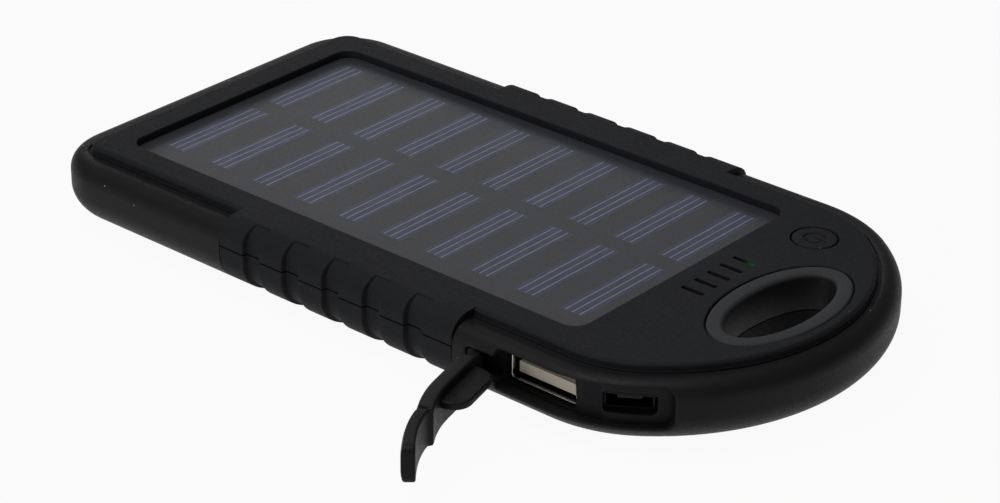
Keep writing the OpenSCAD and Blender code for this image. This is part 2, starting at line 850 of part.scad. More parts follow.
module panel_tape() {
    color("white")
        difference() {
            panel_sheet(panel_top, face_z);
            rounded_block(window_x0 - 0.2, window_x1 + 0.2, window_wid + 0.4, window_r,
                panel_top - 1, face_z + 1);
        }
}

module light_pipe() {
    bar_low = board_top + 1.1;
    comb_z = face_z - 2.5;
    color("#c8d8d0", 0.5) {
        for (i = [0 : light_count - 1])
            translate([light_x - light_len / 2 + 0.1, light_y(i) - light_wid / 2 + 0.1, bar_low])
                cube([light_len - 0.2, light_wid - 0.2, body_thk - light_sink - bar_low]);
        translate([light_x - 1.2, light_y(0) - 1, comb_z])
            cube([2.4, (light_count - 1) * light_pitch + 2, 1.2]);
    }
}

module indicator_leds() {
    color("#e8f2e0")
        for (i = [0 : light_count - 1])
            translate([light_x - 0.8, light_y(i) - 0.4, board_top])
                cube([1.6, 0.8, 0.8]);
}

module main_board() {
    edge_gap = 0.6;
    color("#1f5a3a")
        difference() {
            intersection() {
                plate(wall_inner + edge_gap, 0, board_z, board_top);
                translate([board_x0, -half_wid, board_z - 1])
                    cube([board_x1 - board_x0, body_wid, board_thk + 2]);
            }
            oval(eye_wid / 2 + edge_gap, eye_len / 2 + edge_gap, board_z - 1, board_top + 1);
            translate([usb_x - usb_w / 2 - 0.2, -half_wid, board_z - 1])
                cube([usb_w + 0.4, usb_back + half_wid + 0.2, board_thk + 2]);
            for (p = board_screw_pts)
                translate([p[0], p[1], board_z - 1])
                    cylinder(r = board_screw_r + fit_gap, h = board_thk + 2);
        }
}

// A flat chip on the board's upper side, placed from the board's square end
module chip(x, y, w, d, h) {
    translate([board_x0 + x - w / 2, y - d / 2, board_top])
        cube([w, d, h]);
}

module charge_chip() {
    color("#202020")
        chip(5.5, 0, 5, 4, 1.4);
}

module boost_chip() {
    color("#202020")
        chip(5.5, 14, 5, 6, 1.5);
}

module power_inductor() {
    side = 6.6;
    height = 3;
    color("#4a4a4c")
        translate([board_x0 + 9 - side / 2, 12 - side / 2, board_z - height])
            cube([side, side, height]);
}

module board_capacitors() {
    color("#b89a6a")
        for (p = [[11, 16], [11, 20], [3, 20], [11, -12]])
            chip(p[0], p[1], 1.6, 3.2, 1.6);
}

module usb_a_shell() {
    color("silver")
        difference() {
            translate([usb_x - usb_w / 2, usb_front, usb_low])
                cube([usb_w, usb_depth, usb_h]);
            translate([usb_x - usb_w / 2 + port_sheet, usb_front - 1, usb_low + port_sheet])
                cube([usb_w - 2 * port_sheet, usb_depth + 2, usb_h - 2 * port_sheet]);
        }
}

module usb_a_tongue() {
    color("#e9dfcc") {
        translate([usb_x - usb_inner_w / 2 + tongue_side, usb_front + tongue_set, tongue_z])
            cube([usb_inner_w - 2 * tongue_side, tongue_back, tongue_thk]);
        translate([usb_x - usb_inner_w / 2, usb_front + tongue_back, usb_low + port_sheet])
            cube([usb_inner_w, usb_depth - tongue_back, usb_h - 2 * port_sheet]);
    }
}

module usb_a_contacts() {
    color("#caa85a")
        for (x = [-3.5, -1, 1, 3.5])
            translate([usb_x + x - contact_wid / 2, usb_front + contact_set, tongue_z + tongue_thk])
                cube([contact_wid, tongue_back - contact_set, contact_thk]);
}

module micro_usb_shell() {
    color("silver")
        rotate_about_tip(micro_angle)
            translate([micro_mouth - micro_depth, -micro_w / 2, micro_low])
                difference() {
                    cube([micro_depth, micro_w, micro_h]);
                    translate([0.4, port_sheet, port_sheet])
                        cube([micro_depth, micro_w - 2 * port_sheet, micro_h - 2 * port_sheet]);
                }
}

module micro_usb_tongue() {
    color("#2a2a2a")
        rotate_about_tip(micro_angle)
            translate([micro_mouth - micro_depth + 0.4, -1.9, micro_z - 0.1])
                cube([micro_depth - 1.2, 3.8, 0.6]);
}

module battery_cell() {
    color("#b9bcc2")
        rounded_block(battery_x0, battery_x1, battery_wid, battery_r, battery_low, battery_top);
}

module battery_tabs() {
    color("#c9c6bd")
        for (side = [-1, 1])
            translate([battery_x1, side * lead_y - 2.5, battery_low + 3])
                cube([tab_len, 5, 0.3]);
}

module protection_board() {
    color("#1f5a3a")
        translate([protection_x, -lead_y - 6, battery_low + 0.8])
            cube([protection_thk, 2 * lead_y + 12, 4.4]);
}

// A lead from the protection board to the main board's edge
module battery_lead(y) {
    start = protection_x + protection_thk;
    rise = board_top + lead_r;
    translate([start, y, rise])
        rotate([0, 90, 0])
            cylinder(r = lead_r, h = board_x0 + 1.5 - start);
}

module battery_lead_positive() {
    color("#b02020")
        battery_lead(lead_y);
}

module battery_lead_negative() {
    color("#181818")
        battery_lead(-lead_y);
}

// A lead from the panel's underside down to the main board
module solar_lead(y) {
    translate([board_x0 + 2, y, board_top])
        cylinder(r = lead_r, h = panel_low - board_top);
}

module solar_lead_positive() {
    color("#b02020")
        solar_lead(lead_y - 3);
}

module solar_lead_negative() {
    color("#181818")
        solar_lead(-lead_y + 3);
}

module battery_pads() {
    pad_wid = 8;
    color("#303030")
        for (side = [-1, 1]) {
            translate([battery_x0 + 6, side * battery_wid / 4 - pad_wid / 2, base_thk])
                cube([battery_x1 - battery_x0 - 12, pad_wid, pad_low]);
            translate([battery_x0 + 6, side * battery_wid / 4 - pad_wid / 2, battery_top])
                cube([battery_x1 - battery_x0 - 12, pad_wid, panel_low - battery_top]);
        }
}

module board_screws() {
    color("silver")
        for (p = board_screw_pts) {
            translate([p[0], p[1], board_screw_tip])
                cylinder(r = board_screw_r, h = board_top - board_screw_tip + 0.1);
            translate([p[0], p[1], board_top])
                cylinder(r = board_screw_head_r, h = screw_head_h);
        }
}

module case_screws() {
    head_top = counterbore_h;
    color("#555555")
        for (p = case_screw_pts) {
            translate([p[0], p[1], head_top - screw_head_h])
                cylinder(r = screw_head_r, h = screw_head_h);
            translate([p[0], p[1], head_top - 0.1])
                cylinder(r = screw_r, h = screw_tip - head_top + 0.1);
        }
}

upper_shell();
lower_shell();
square_end_bumper();
round_end_bumper();
port_flap();
flap_tip();
carabiner_ring();
power_button();
switch_plunger();
solar_cells();
panel_board();
panel_cover();
panel_tape();
light_pipe();
indicator_leds();
main_board();
tact_switch();
charge_chip();
boost_chip();
power_inductor();
board_capacitors();
usb_a_shell();
usb_a_tongue();
usb_a_contacts();
micro_usb_shell();
micro_usb_tongue();
battery_cell();
battery_tabs();
protection_board();
battery_lead_positive();
battery_lead_negative();
solar_lead_positive();
solar_lead_negative();
battery_pads();
board_screws();
case_screws();
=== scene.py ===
import json
import math

import bmesh
import bpy
import numpy as np
from mathutils import Matrix, Vector
from mathutils.geometry import delaunay_2d_cdt


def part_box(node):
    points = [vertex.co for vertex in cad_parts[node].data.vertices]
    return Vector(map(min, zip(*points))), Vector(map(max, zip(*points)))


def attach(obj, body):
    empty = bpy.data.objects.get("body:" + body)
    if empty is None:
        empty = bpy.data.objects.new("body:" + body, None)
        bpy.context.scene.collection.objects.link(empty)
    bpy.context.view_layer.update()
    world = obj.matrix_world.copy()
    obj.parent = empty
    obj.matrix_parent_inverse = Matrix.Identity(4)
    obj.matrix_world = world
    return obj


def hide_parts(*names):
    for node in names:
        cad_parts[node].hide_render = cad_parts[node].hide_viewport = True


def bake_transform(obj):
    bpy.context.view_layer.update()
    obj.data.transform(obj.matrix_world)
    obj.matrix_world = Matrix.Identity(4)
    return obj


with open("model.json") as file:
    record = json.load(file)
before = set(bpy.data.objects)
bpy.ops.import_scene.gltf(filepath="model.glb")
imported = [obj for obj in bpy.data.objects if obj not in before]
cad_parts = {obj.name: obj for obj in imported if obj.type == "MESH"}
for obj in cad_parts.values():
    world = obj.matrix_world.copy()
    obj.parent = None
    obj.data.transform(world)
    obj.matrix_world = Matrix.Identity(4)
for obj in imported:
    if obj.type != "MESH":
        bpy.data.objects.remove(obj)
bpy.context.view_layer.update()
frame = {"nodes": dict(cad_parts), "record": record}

mm = 0.001  # every size below is in millimetres, and meshes are made in metres
scene = bpy.context.scene
scene.view_settings.view_transform = "Standard"
print("frame loaded:", len(frame["nodes"]), "nodes")


def nodeBox(name):  # lowest and highest corner of a CAD node, in mm
    low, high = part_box(name)
    return np.array(low) / mm, np.array(high) / mm


def pick(form, names):  # several settings at once
    return [form[name] for name in names.split()]


def addObject(name, data):
    item = bpy.data.objects.new(name, data)
    scene.collection.objects.link(item)
    return item


# Shader tools

def linear(hexColour):  # sRGB hex to a linear RGBA colour
    code = np.array([int(hexColour[k:k + 2], 16) for k in (1, 3, 5)]) / 255
    line = np.where(code <= 0.04045, code / 12.92, ((code + 0.055) / 1.055) ** 2.4)
    return (*line.tolist(), 1.0)


def addNode(tree, kind, inputs=(), **settings):  # one node: its settings, then its values and links
    node = tree.nodes.new("ShaderNode" + kind)
    for name, value in settings.items():
        setattr(node, name, value)
    for key, value in dict(inputs).items():
        if isinstance(value, bpy.types.NodeSocket):
            tree.links.new(value, node.inputs[key])
        else:
            node.inputs[key].default_value = value
    return node.outputs


def maths(tree, operation, first, second):
    return addNode(tree, "Math", {0: first, 1: second}, operation=operation)[0]


def ramp(tree, value, start, end, low=0.0, high=1.0):  # low at start, high at end, level beyond them
    return addNode(tree, "MapRange", {"Value": value, "From Min": start, "From Max": end,
                                      "To Min": low, "To Max": high})[0]


def mixed(tree, share, first, second):  # two colours
    return addNode(tree, "Mix", {0: share, 6: first, 7: second}, data_type="RGBA")[2]


def seenBy(tree, *rays):  # 1 for these kinds of ray
    path = addNode(tree, "LightPath")
    share = path[f"Is {rays[0]} Ray"]
    for ray in rays[1:]:
        share = maths(tree, "MAXIMUM", share, path[f"Is {ray} Ray"])
    return share


def newMaterial(name, **inputs):  # a material, its tree and its shader, with plain values set
    material = bpy.data.materials.new(name)
    material.use_nodes = True
    shader = material.node_tree.nodes["Principled BSDF"]
    for key, value in inputs.items():
        shader.inputs[key].default_value = value
    return material, material.node_tree, shader


# Camera and studio

cameraView = {"place": (293.6, -343.0, 236.4), "aim": (12.97, -15.46, 13.5), "roll": 0.645,  # degrees
              "lens": 110.07, "sensor": 36.0, "clipEnd": 100.0}
studio = {
    "worldStrength": 0.17, "floorColour": "#b4b4b4", "floorSize": 8000.0, "floorZ": -0.1,
    "floorWhite": 0.94,  # share of the floor that shows as plain white paper
    # place, width, depth, watts; every box looks at the origin
    "softBoxes": (((-100.0, -250.0, 950.0), 600.0, 500.0, 5.2), ((-150.0, -800.0, 260.0), 500.0, 300.0, 1.5),
                  ((-620.0, 560.0, 250.0), 500.0, 250.0, 0.62)),
}
white = (1.0, 1.0, 1.0, 1.0)


def facing(place, aim):  # a stand at place that looks at aim
    turn = (Vector(place) - Vector(aim)).to_track_quat("Z", "Y").to_matrix().to_4x4()
    return Matrix.Translation(Vector(place) * mm) @ turn


def placeCamera(view):
    lensData = bpy.data.cameras.new("photoCamera")
    lensData.lens, lensData.sensor_width, lensData.clip_end = pick(view, "lens sensor clipEnd")
    scene.camera = addObject("photoCamera", lensData)
    roll = Matrix.Rotation(math.radians(view["roll"]), 4, "Z")
    scene.camera.matrix_world = facing(view["place"], view["aim"]) @ roll


def lightStudio(look):
    world = bpy.data.worlds.new("softWorld")
    world.use_nodes = True
    tree = world.node_tree
    sky = tree.nodes["Background"]
    sky.inputs["Color"].default_value = white
    strength = ramp(tree, seenBy(tree, "Camera", "Transmission"), 0.0, 1.0, look["worldStrength"], 1.0)
    tree.links.new(strength, sky.inputs["Strength"])
    scene.world = world
    for k, (place, width, depth, watts) in enumerate(look["softBoxes"]):
        lamp = bpy.data.lights.new(f"softBox{k}", "AREA")
        lamp.shape = "RECTANGLE"
        lamp.size, lamp.size_y, lamp.energy = width * mm, depth * mm, watts
        addObject(f"softBox{k}", lamp).matrix_world = facing(place, (0, 0, 0))
    half, level = look["floorSize"] / 2 * mm, look["floorZ"] * mm
    sheet = bpy.data.meshes.new("paperFloor")
    sheet.from_pydata([(-half, -half, level), (half, -half, level), (half, half, level), (-half, half, level)],
                      [], [(0, 1, 2, 3)])
    floor = addObject("paperFloor", sheet)
    # seamless white paper: it takes the shadow, and shows as white to the camera and in reflections
    paper, tree, shader = newMaterial("seamlessPaper", **{
        "Base Color": linear(look["floorColour"]), "Roughness": 1.0, "Specular IOR Level": 0.0})
    share = maths(tree, "MULTIPLY", seenBy(tree, "Camera", "Glossy", "Transmission"), look["floorWhite"])
    glow = addNode(tree, "Emission", {"Color": white, "Strength": 1.0})[0]
    both = addNode(tree, "MixShader", {0: share, 1: shader.outputs[0], 2: glow})[0]
    tree.links.new(both, tree.nodes["Material Output"].inputs["Surface"])
    sheet.materials.append(paper)


placeCamera(cameraView)
lightStudio(studio)
print("camera, lights and floor set")


# Materials

noiseSpan = (0.3, 0.7)  # where the values of a noise mostly lie


def finish(name, dark, light, cloudMm, grainMm, depthMm, rough, specular, bump, metallic=0.0, stretch=None,
           dust=None, paintedShade=None):
    # One surface: two tones mixed by a slow cloud, and a fine grain that drives roughness and height.
    # stretch scales the pattern on each axis, dust is the cell, radius and colour of specks, and the last
    # argument is the axis, start, end and colour of a painted shade that comes in along an axis.
    material, tree, shader = newMaterial(name, **{"Metallic": metallic, "Specular IOR Level": specular})
    spot = place = addNode(tree, "TexCoord")["Object"]
    if stretch:
        place = addNode(tree, "Mapping", {"Vector": place, "Scale": stretch})[0]
    cloud = addNode(tree, "TexNoise", {"Vector": place, "Scale": 1 / (cloudMm * mm), "Detail": 3.0})[0]
    grain = addNode(tree, "TexNoise", {"Vector": place, "Scale": 1 / (grainMm * mm), "Detail": 2.0})[0]
    colour = mixed(tree, ramp(tree, cloud, *noiseSpan), linear(dark), linear(light))
    if dust:  # one grain in each cell of a 3-D Voronoi, so few of them lie on the skin
        cell, radius, dustColour = dust
        speck = addNode(tree, "TexVoronoi", {"Vector": place, "Scale": 1 / (cell * mm)})["Distance"]
        near = ramp(tree, speck, 0.5 * radius / cell, radius / cell, 1.0, 0.0)
        colour = mixed(tree, near, colour, linear(dustColour))
    # painted shade: a darker colour mixed in along one axis, standing in for the shade down a bore or inside a
    # tube
    if paintedShade:
        axis, start, end, shadeColour = paintedShade
        along = addNode(tree, "SeparateXYZ", {0: spot})[axis]
        colour = mixed(tree, ramp(tree, along, start * mm, end * mm), colour, linear(shadeColour))
    height = addNode(tree, "Bump", {"Height": grain, "Strength": bump, "Distance": depthMm * mm})[0]
    tree.links.new(colour, shader.inputs["Base Color"])
    tree.links.new(ramp(tree, grain, *noiseSpan, *rough), shader.inputs["Roughness"])
    tree.links.new(height, shader.inputs["Normal"])
    return material


# soft-touch paint on moulded ABS: a flat blue-black with a fine peel, no clear highlight
softTouch = finish("softTouchPaint", "#151619", "#191a1d", 18.0, 0.35, 0.03, (0.62, 0.78), 0.16, 0.35,
                   dust=(3.6, 0.11, "#6a6c70"))
# moulded silicone rubber: neutral black, satin, with a few specks of dust that cling to it
silicone = finish("siliconeRubber", "#121212", "#161616", 14.0, 0.5, 0.03, (0.46, 0.6), 0.15, 0.3,
                  dust=(2.8, 0.13, "#b4b4b2"))
# spark-eroded grey ABS of the eye's ring: a shade lighter than the shell, fine even grain, with painted shade
# making it black down its bore
ringPlastic = finish("texturedGreyAbs", "#2a2b2d", "#303133", 9.0, 0.3, 0.04, (0.6, 0.75), 0.28, 0.5,
                     paintedShade=("Z", 13.2, 12.7, "#060606"))
# epoxy-laminated solar panel: dark satin resin, a little glassy, with a faint mottling
panelResin = finish("panelResin", "#27282e", "#2c2d34", 12.0, 0.45, 0.02, (0.42, 0.55), 0.4, 0.25)
# monocrystalline silicon strip under resin: blue-grey, finely streaked along its length
siliconCell = finish("siliconCell", "#272e41", "#2e364d", 5.0, 0.5, 0.015, (0.4, 0.55), 0.45, 0.2,
                     stretch=(1.0, 0.15, 1.0))
# screen-printed silver paste: a pale grey line, not shiny
silverPaste = finish("silverPaste", "#767c8a", "#878d9b", 2.0, 0.2, 0.01, (0.45, 0.6), 0.4, 0.3, metallic=0.3)
# nickel-plated stamped steel: bright, with fine drawing lines along the sheet
steelLook = ("#b9b6b0", "#d0cdc8", 3.0, 0.12, 0.004, (0.2, 0.34), 0.5, 0.25, 1.0, (1.0, 0.12, 1.0))
platedSteel = finish("nickelPlatedSteel", *steelLook)
# black-oxide steel of the small port's shell: near black with a dull metal edge
blackSteel = finish("blackOxideSteel", "#121212", "#1c1c1c", 2.0, 0.12, 0.004, (0.4, 0.55), 0.5, 0.25, 0.8)
# gold-flashed phosphor bronze: warm, slightly dull contact metal
contactGold = finish("goldFlashedBronze", "#8a6d3a", "#a5854b", 1.5, 0.15, 0.005, (0.3, 0.45), 0.5, 0.25, 1.0)
# moulded LCP of the port's tongue: cream, matt, slightly mottled from flow
tonguePlastic = finish("creamLcp", "#e2d6c4", "#efe5d6", 2.5, 0.2, 0.01, (0.5, 0.65), 0.4, 0.3)
# etched board under green solder resist: even green with a slight gloss
boardResist = finish("solderResistGreen", "#14482c", "#1b5a37", 6.0, 0.4, 0.01, (0.3, 0.45), 0.5, 0.2)
# moulded epoxy of a chip package: matt charcoal
chipEpoxy = finish("chipEpoxy", "#1c1c1d", "#242425", 2.0, 0.15, 0.01, (0.55, 0.7), 0.4, 0.4)
# fired ceramic of small capacitors: tan and matt
tanCeramic = finish("firedCeramic", "#a58a66", "#b89c76", 1.2, 0.2, 0.008, (0.5, 0.65), 0.4, 0.3)
# aluminium-laminated pouch film: soft silver with slow dimples
pouchFilm = finish("pouchFoil", "#9fa3a8", "#b5b9be", 9.0, 3.0, 0.08, (0.32, 0.48), 0.5, 0.4, 0.8)
# closed-cell PU foam: mid grey with open-looking pores
padFoam = finish("closedCellFoam", "#4f5052", "#626365", 3.0, 0.6, 0.12, (0.8, 0.95), 0.2, 0.6)
# acrylic foam tape under the solar panel: black, matt
blackTape = finish("blackAcrylicTape", "#141415", "#1b1b1c", 4.0, 0.4, 0.02, (0.7, 0.85), 0.2, 0.3)
# extruded PVC insulation on the leads
redLead = finish("redPvc", "#8c1614", "#a31c19", 3.0, 0.3, 0.01, (0.4, 0.55), 0.45, 0.2)
blackLead = finish("blackPvc", "#1a1a1a", "#222222", 3.0, 0.3, 0.01, (0.4, 0.55), 0.45, 0.2)
# diffusing white resin of the indicator's lamp packages
lampResin = finish("lampResin", "#d2d0c2", "#e0dece", 1.0, 0.15, 0.005, (0.35, 0.5), 0.45, 0.2)
print("materials:", len(bpy.data.materials))


# Surface tools: a loop or path is a pair of points and outward directions, a patch is points and faces

samePlace = 1e-6  # mm: nearer than this is the same point
fillReach = 1e-5  # mm: the same for the filling of flat regions
mergeReach = 1.5e-6  # metres: points of neighbouring patches nearer than this become one


def gridPatch(grid, wrapRows=False, wrapColumns=False):
    # quads between neighbouring rows and columns of a grid of points
    rows, columns = grid.shape[:2]
    index = np.arange(rows * columns).reshape(rows, columns)
    if wrapRows:
        index = np.vstack([index, index[:1]])
    if wrapColumns:
        index = np.hstack([index, index[:, :1]])
    quads = np.stack([index[:-1, :-1], index[:-1, 1:], index[1:, 1:], index[1:, :-1]], -1)
    return grid.reshape(-1, 3), quads.reshape(-1, 4)


def within(points, loop):
    # a point is inside a loop if a ray along +x crosses the loop an odd number of times
    x, y = points[:, :1], points[:, 1:]
    x0, y0 = loop.T
    x1, y1 = np.roll(loop, -1, 0).T
    spans = (y0 > y) != (y1 > y)
    rise = np.where(y1 == y0, 1.0, y1 - y0)
    return (spans & (x < x0 + (y - y0) * (x1 - x0) / rise)).sum(1) % 2 == 1


def fillPatch(outer, holes, place, inside=None):
    # triangles of the flat region inside outer and outside the holes, carried into space by place
    loops = [outer, *holes]
    flat = np.vstack(loops + ([] if inside is None else [inside]))
    starts = np.cumsum([0] + [len(loop) for loop in loops])
    links = np.vstack([np.stack([np.arange(a, b), np.roll(np.arange(a, b), -1)], 1)
                       for a, b in zip(starts[:-1], starts[1:])])
    filled = delaunay_2d_cdt([Vector(p) for p in flat.tolist()], links.tolist(), [], 0, fillReach)
    corners, triangles = np.array([tuple(corner) for corner in filled[0]]), np.array(filled[2])
    middle = corners[triangles].mean(1)
    keep = within(middle, outer)
    for hole in holes:
        keep &= ~within(middle, hole)
    return place(corners), triangles[keep]


def makePiece(name, patches, material, replaced=(), body="case", sharpAngle=40.0, weighted=False):
    starts = np.cumsum([0] + [len(points) for points, _ in patches])
    faces = [face for (_, patchFaces), start in zip(patches, starts) for face in (patchFaces + start).tolist()]
    mesh = bpy.data.meshes.new(name)
    mesh.from_pydata((np.vstack([points for points, _ in patches]) * mm).tolist(), [], faces)
    work = bmesh.new()
    work.from_mesh(mesh)
    bmesh.ops.remove_doubles(work, verts=work.verts, dist=mergeReach)
    bmesh.ops.recalc_face_normals(work, faces=work.faces)
    openEdges = sum(not edge.is_manifold for edge in work.edges)
    work.to_mesh(mesh)
    work.free()
    mesh.polygons.foreach_set("use_smooth", np.ones(len(mesh.polygons), bool))
    mesh.set_sharp_from_angle(angle=math.radians(sharpAngle))
    mesh.materials.append(material)
    piece = addObject(name, mesh)
    if weighted:
        piece.modifiers.new("evenNormals", "WEIGHTED_NORMAL").keep_sharp = True
    if body:
        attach(piece, body)
    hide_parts(*replaced)
    print("made", name, len(mesh.polygons), "faces, open edges", openEdges)
    return piece


def smooth(t):  # 0 to 1 with level ends
    t = np.clip(t, 0, 1)
    return t * t * (3 - 2 * t)


def lengths(way):
    return np.linalg.norm(way, axis=-1)


def unit(way):
    return way / lengths(way)[..., None]


def bearings(way):  # degrees from +X
    return np.degrees(np.arctan2(way[..., 1], way[..., 0]))


def quarter(radius, count):
    # a rounded edge, from one face to the other: how far each point lies from the second face and from the first
    turn = np.linspace(0, np.pi / 2, count)
    return radius * (1 - np.sin(turn)), radius * (1 - np.cos(turn))


def circle(count):  # directions all round
    angle = np.linspace(0, 2 * np.pi, count, endpoint=False)
    return np.stack([np.cos(angle), np.sin(angle)], 1)


def straight(start, end, count):  # a run of points, with outwards on the right of the run
    start, end = np.array(start, float), np.array(end, float)
    way = unit(end - start)
    points = start + (end - start) * np.linspace(0, 1, count)[:, None]
    return points, np.tile([way[1], -way[0]], (count, 1))


def bend(centre, radius, first, last, count):  # points of an arc, with outwards along its radius
    angle = np.radians(np.linspace(first, last, count))
    out = np.stack([np.cos(angle), np.sin(angle)], 1)
    return np.array(centre, float) + radius * out, out


def joined(*runs):  # runs laid end to end, each shared point once
    return tuple(np.vstack([runs[0][k]] + [run[k][1:] for run in runs[1:]]) for k in (0, 1))


def ellipseLoop(centre, semi, count):
    turn = circle(count)
    out = turn * np.flip(semi)
    return np.array(centre) + turn * semi, unit(out)


def rectLoop(low, high, radii, count):
    # rounded rectangle, corner radii in the order right-high, left-high, left-low, right-low
    radii = np.broadcast_to(np.array(radii, float), 4)
    side = np.array([[1, 1], [0, 1], [0, 0], [1, 0]])
    centres = np.where(side, high, low) + radii[:, None] * (1 - 2 * side)
    runs = [bend(centres[k], radii[k], 90 * k, 90 * k + 90, count) for k in range(4)]
    return tuple(np.vstack(part) for part in zip(*runs))


def denseLoop(loop, step):  # the same loop with points no further apart than step
    points, out = loop
    ahead, outAhead = np.roll(points, -1, 0), np.roll(out, -1, 0)
    count = np.maximum(np.ceil(lengths(ahead - points) / step).astype(int), 1)
    share = np.concatenate([np.arange(n) / n for n in count])[:, None]
    here = np.repeat(np.arange(len(points)), count)
    normal = out[here] * (1 - share) + outAhead[here] * share
    return points[here] * (1 - share) + ahead[here] * share, unit(normal)


def flatAt(height):  # places a flat patch level at a height
    return lambda plan: np.column_stack([plan, np.full(len(plan), height)])


def lifted(plan, heights):  # rows of plan points, each row at its own height
    return np.dstack([plan, np.broadcast_to(heights[:, None], plan.shape[:2])])


def capped(grid):  # a tube of rows with both its ends drawn in to their middle points
    middle = np.broadcast_to(grid.mean(0), grid.shape)
    return np.concatenate([middle[:, :1], grid, middle[:, -1:]], 1)


def rimPatch(loop, fillet, top, bottom):
    # a hole's edge: rounds over from the face at top, then drops straight to bottom
    away, drop = quarter(fillet, 5)
    plan = loop[0] + np.append(away, 0.0)[:, None, None] * loop[1]
    return gridPatch(lifted(plan, np.append(top - drop, bottom)), wrapColumns=True)


def crossings(a, b):  # every pair from two sample arrays
    return np.stack(np.meshgrid(a, b, indexing="ij"), -1).reshape(-1, 2)


def frameLoop(a, b):  # closed loop round the rectangle of two sample arrays
    return np.vstack([crossings(a, b[:1]), crossings(a[-1:], b[1:]), crossings(a[-2::-1], b[-1:]),
                      crossings(a[:1], b[-2:0:-1])])


def clearOf(points, loop, reach):  # drops points that lie on a loop or inside it
    gap = lengths(points[:, None] - loop).min(1)
    return points[(gap > reach) & ~within(points, loop)]


# Body outline: straight sides, small corners at the square end, three arcs at the round end

bodyForm = {
    "cornerR": 11.5, "shoulderInset": 13.2, "facePush": 1.2, "cornerPush": 1.3, "seam": 0.15, "topZ": 13.5,
    "partZ": 7.0, "partGap": 0.13, "partLedge": 0.6, "partRise": 0.8, "ribPartZ": 8.8,
    "bumperLip": -4.3, "lipRoom": 0.2, "lipDrop": 0.1, "stepZ": 11.9, "bumperWall": -3.4, "wallLedge": 0.2,
    "pushHalf": 0.1, "rimEdge": -5.2, "rimWide": 0.9, "rimDeep": 0.55, "tipNarrow": 0.4,
    "innerWall": -5.0, "plateZ": 12.3, "baseZ": 1.6, "openingFillet": 0.4,
    # elliptical edges: offset and height of the centre, then the semi-axes along both
    "bumperTop": (-3.0, 9.2, 3.0, 3.05), "bumperBottom": (-9.8, 6.8, 9.8, 6.8), "ribTop": (-4.0, 10.3, 4.0, 3.2),
    "valleyStart": -22.7, "valleyPitch": 8.775, "valleyWidth": 3.4, "valleyDepth": 0.9, "valleyEdge": 0.24,
    "valleys": 5, "valleyHigh": 80.0, "valleyLow": 70.0, "valleyFade": 18.0,
}
squareHigh = nodeBox("square_end_bumper")[1]
roundLow, roundHigh = nodeBox("round_end_bumper")
halfLen, halfWid = roundHigh[0], squareHigh[1]
ribStart, ribEnd = squareHigh[0] + bodyForm["seam"], roundLow[0] - bodyForm["seam"]
# the centres of the tip and of a shoulder lie on a 3-4-5 triangle, so the arcs meet without a kink
shoulderR = halfWid - bodyForm["shoulderInset"]
tipR = shoulderR + bodyForm["shoulderInset"] / 0.8
tipX = halfLen - tipR
tipCentre = np.array([tipX, 0.0])
shoulderX = tipX + 0.75 * bodyForm["shoulderInset"]
tipAngle = math.degrees(math.atan2(4, 3))


def roundEnd(startX):  # near side, near shoulder, tip, far shoulder, far side
    inset = bodyForm["shoulderInset"]
    return joined(
        straight((startX, -halfWid), (shoulderX, -halfWid), 52),
        bend((shoulderX, -inset), shoulderR, -90, -tipAngle, 44),
        bend((tipX, 0), tipR, -tipAngle, tipAngle, 130),
        bend((shoulderX, inset), shoulderR, tipAngle, 90, 44),
        straight((shoulderX, halfWid), (startX, halfWid), 52))


def squareEnd(startX):  # far side, corner, end, corner, near side
    r = bodyForm["cornerR"]
    left, side = -halfLen + r, halfWid - r
    return joined(
        straight((startX, halfWid), (left, halfWid), 50),
        bend((left, side), r, 90, 180, 40),
        straight((-halfLen, side), (-halfLen, -side), 60),
        bend((left, -side), r, 180, 270, 40),
        straight((left, -halfWid), (startX, -halfWid), 50))


valleyStarts = bodyForm["valleyStart"] + bodyForm["valleyPitch"] * np.arange(bodyForm["valleys"])


def valleyMask(x):  # 1 in a grip valley, 0 on a rib, with short smooth walls
    edge, wide = pick(bodyForm, "valleyEdge valleyWidth")
    past = x[:, None] - valleyStarts
    return (smooth((past + edge) / (2 * edge)) - smooth((past - wide + edge) / (2 * edge))).sum(1)


def valleyEnd(angle, limit):  # full depth on the side, none past a limit in degrees towards the face or the base
    return smooth((np.radians(limit) - angle) / np.radians(bodyForm["valleyFade"]))


def ribRun():  # X stations of the grip, close together on the valley walls
    walls = np.concatenate([valleyStarts, valleyStarts + bodyForm["valleyWidth"]])
    close = (walls[:, None] + bodyForm["valleyEdge"] * np.linspace(-1, 1, 11)).ravel()
    return np.unique(np.concatenate([np.linspace(ribStart, ribEnd, 90), close]))


def shellStations():
    # the whole outline as one closed run; the ends of the ribs are there twice, once for each profile
    ribX = ribRun()
    far, near = ((np.column_stack([x, np.full(len(x), way * halfWid)]), np.tile([0.0, way], (len(x), 1)))
                 for x, way in ((ribX[::-1], 1.0), (ribX, -1.0)))
    runs = [roundEnd(ribEnd), far, squareEnd(ribStart), near]
    points, out = (np.vstack(part) for part in zip(*runs))
    ribbed = np.repeat([False, True, False, True], [len(run[0]) for run in runs])
    return points, out, ribbed, valleyMask(points[:, 0])


def onEllipse(form, angle):  # offset and height on an elliptical edge
    return form[0] + form[2] * np.cos(angle), form[1] + form[3] * np.sin(angle)


topForm, bottomForm = pick(bodyForm, "bumperTop bumperBottom")
bottomAngle = -math.degrees(math.acos((bodyForm["bumperWall"] - bottomForm[0]) / bottomForm[2]))
stationPoints, stationOut, stationRibbed, stationValley = shellStations()


def bumperPush(way):
    # how far the face reaches out past the common inset: at the tip and in the square corners
    corner = np.where(way[..., 0] < 0, (2 * way[..., 0] * way[..., 1]) ** 2, 0.0)
    return bodyForm["facePush"] * np.clip(way[..., 0], 0, None) + bodyForm["cornerPush"] * corner


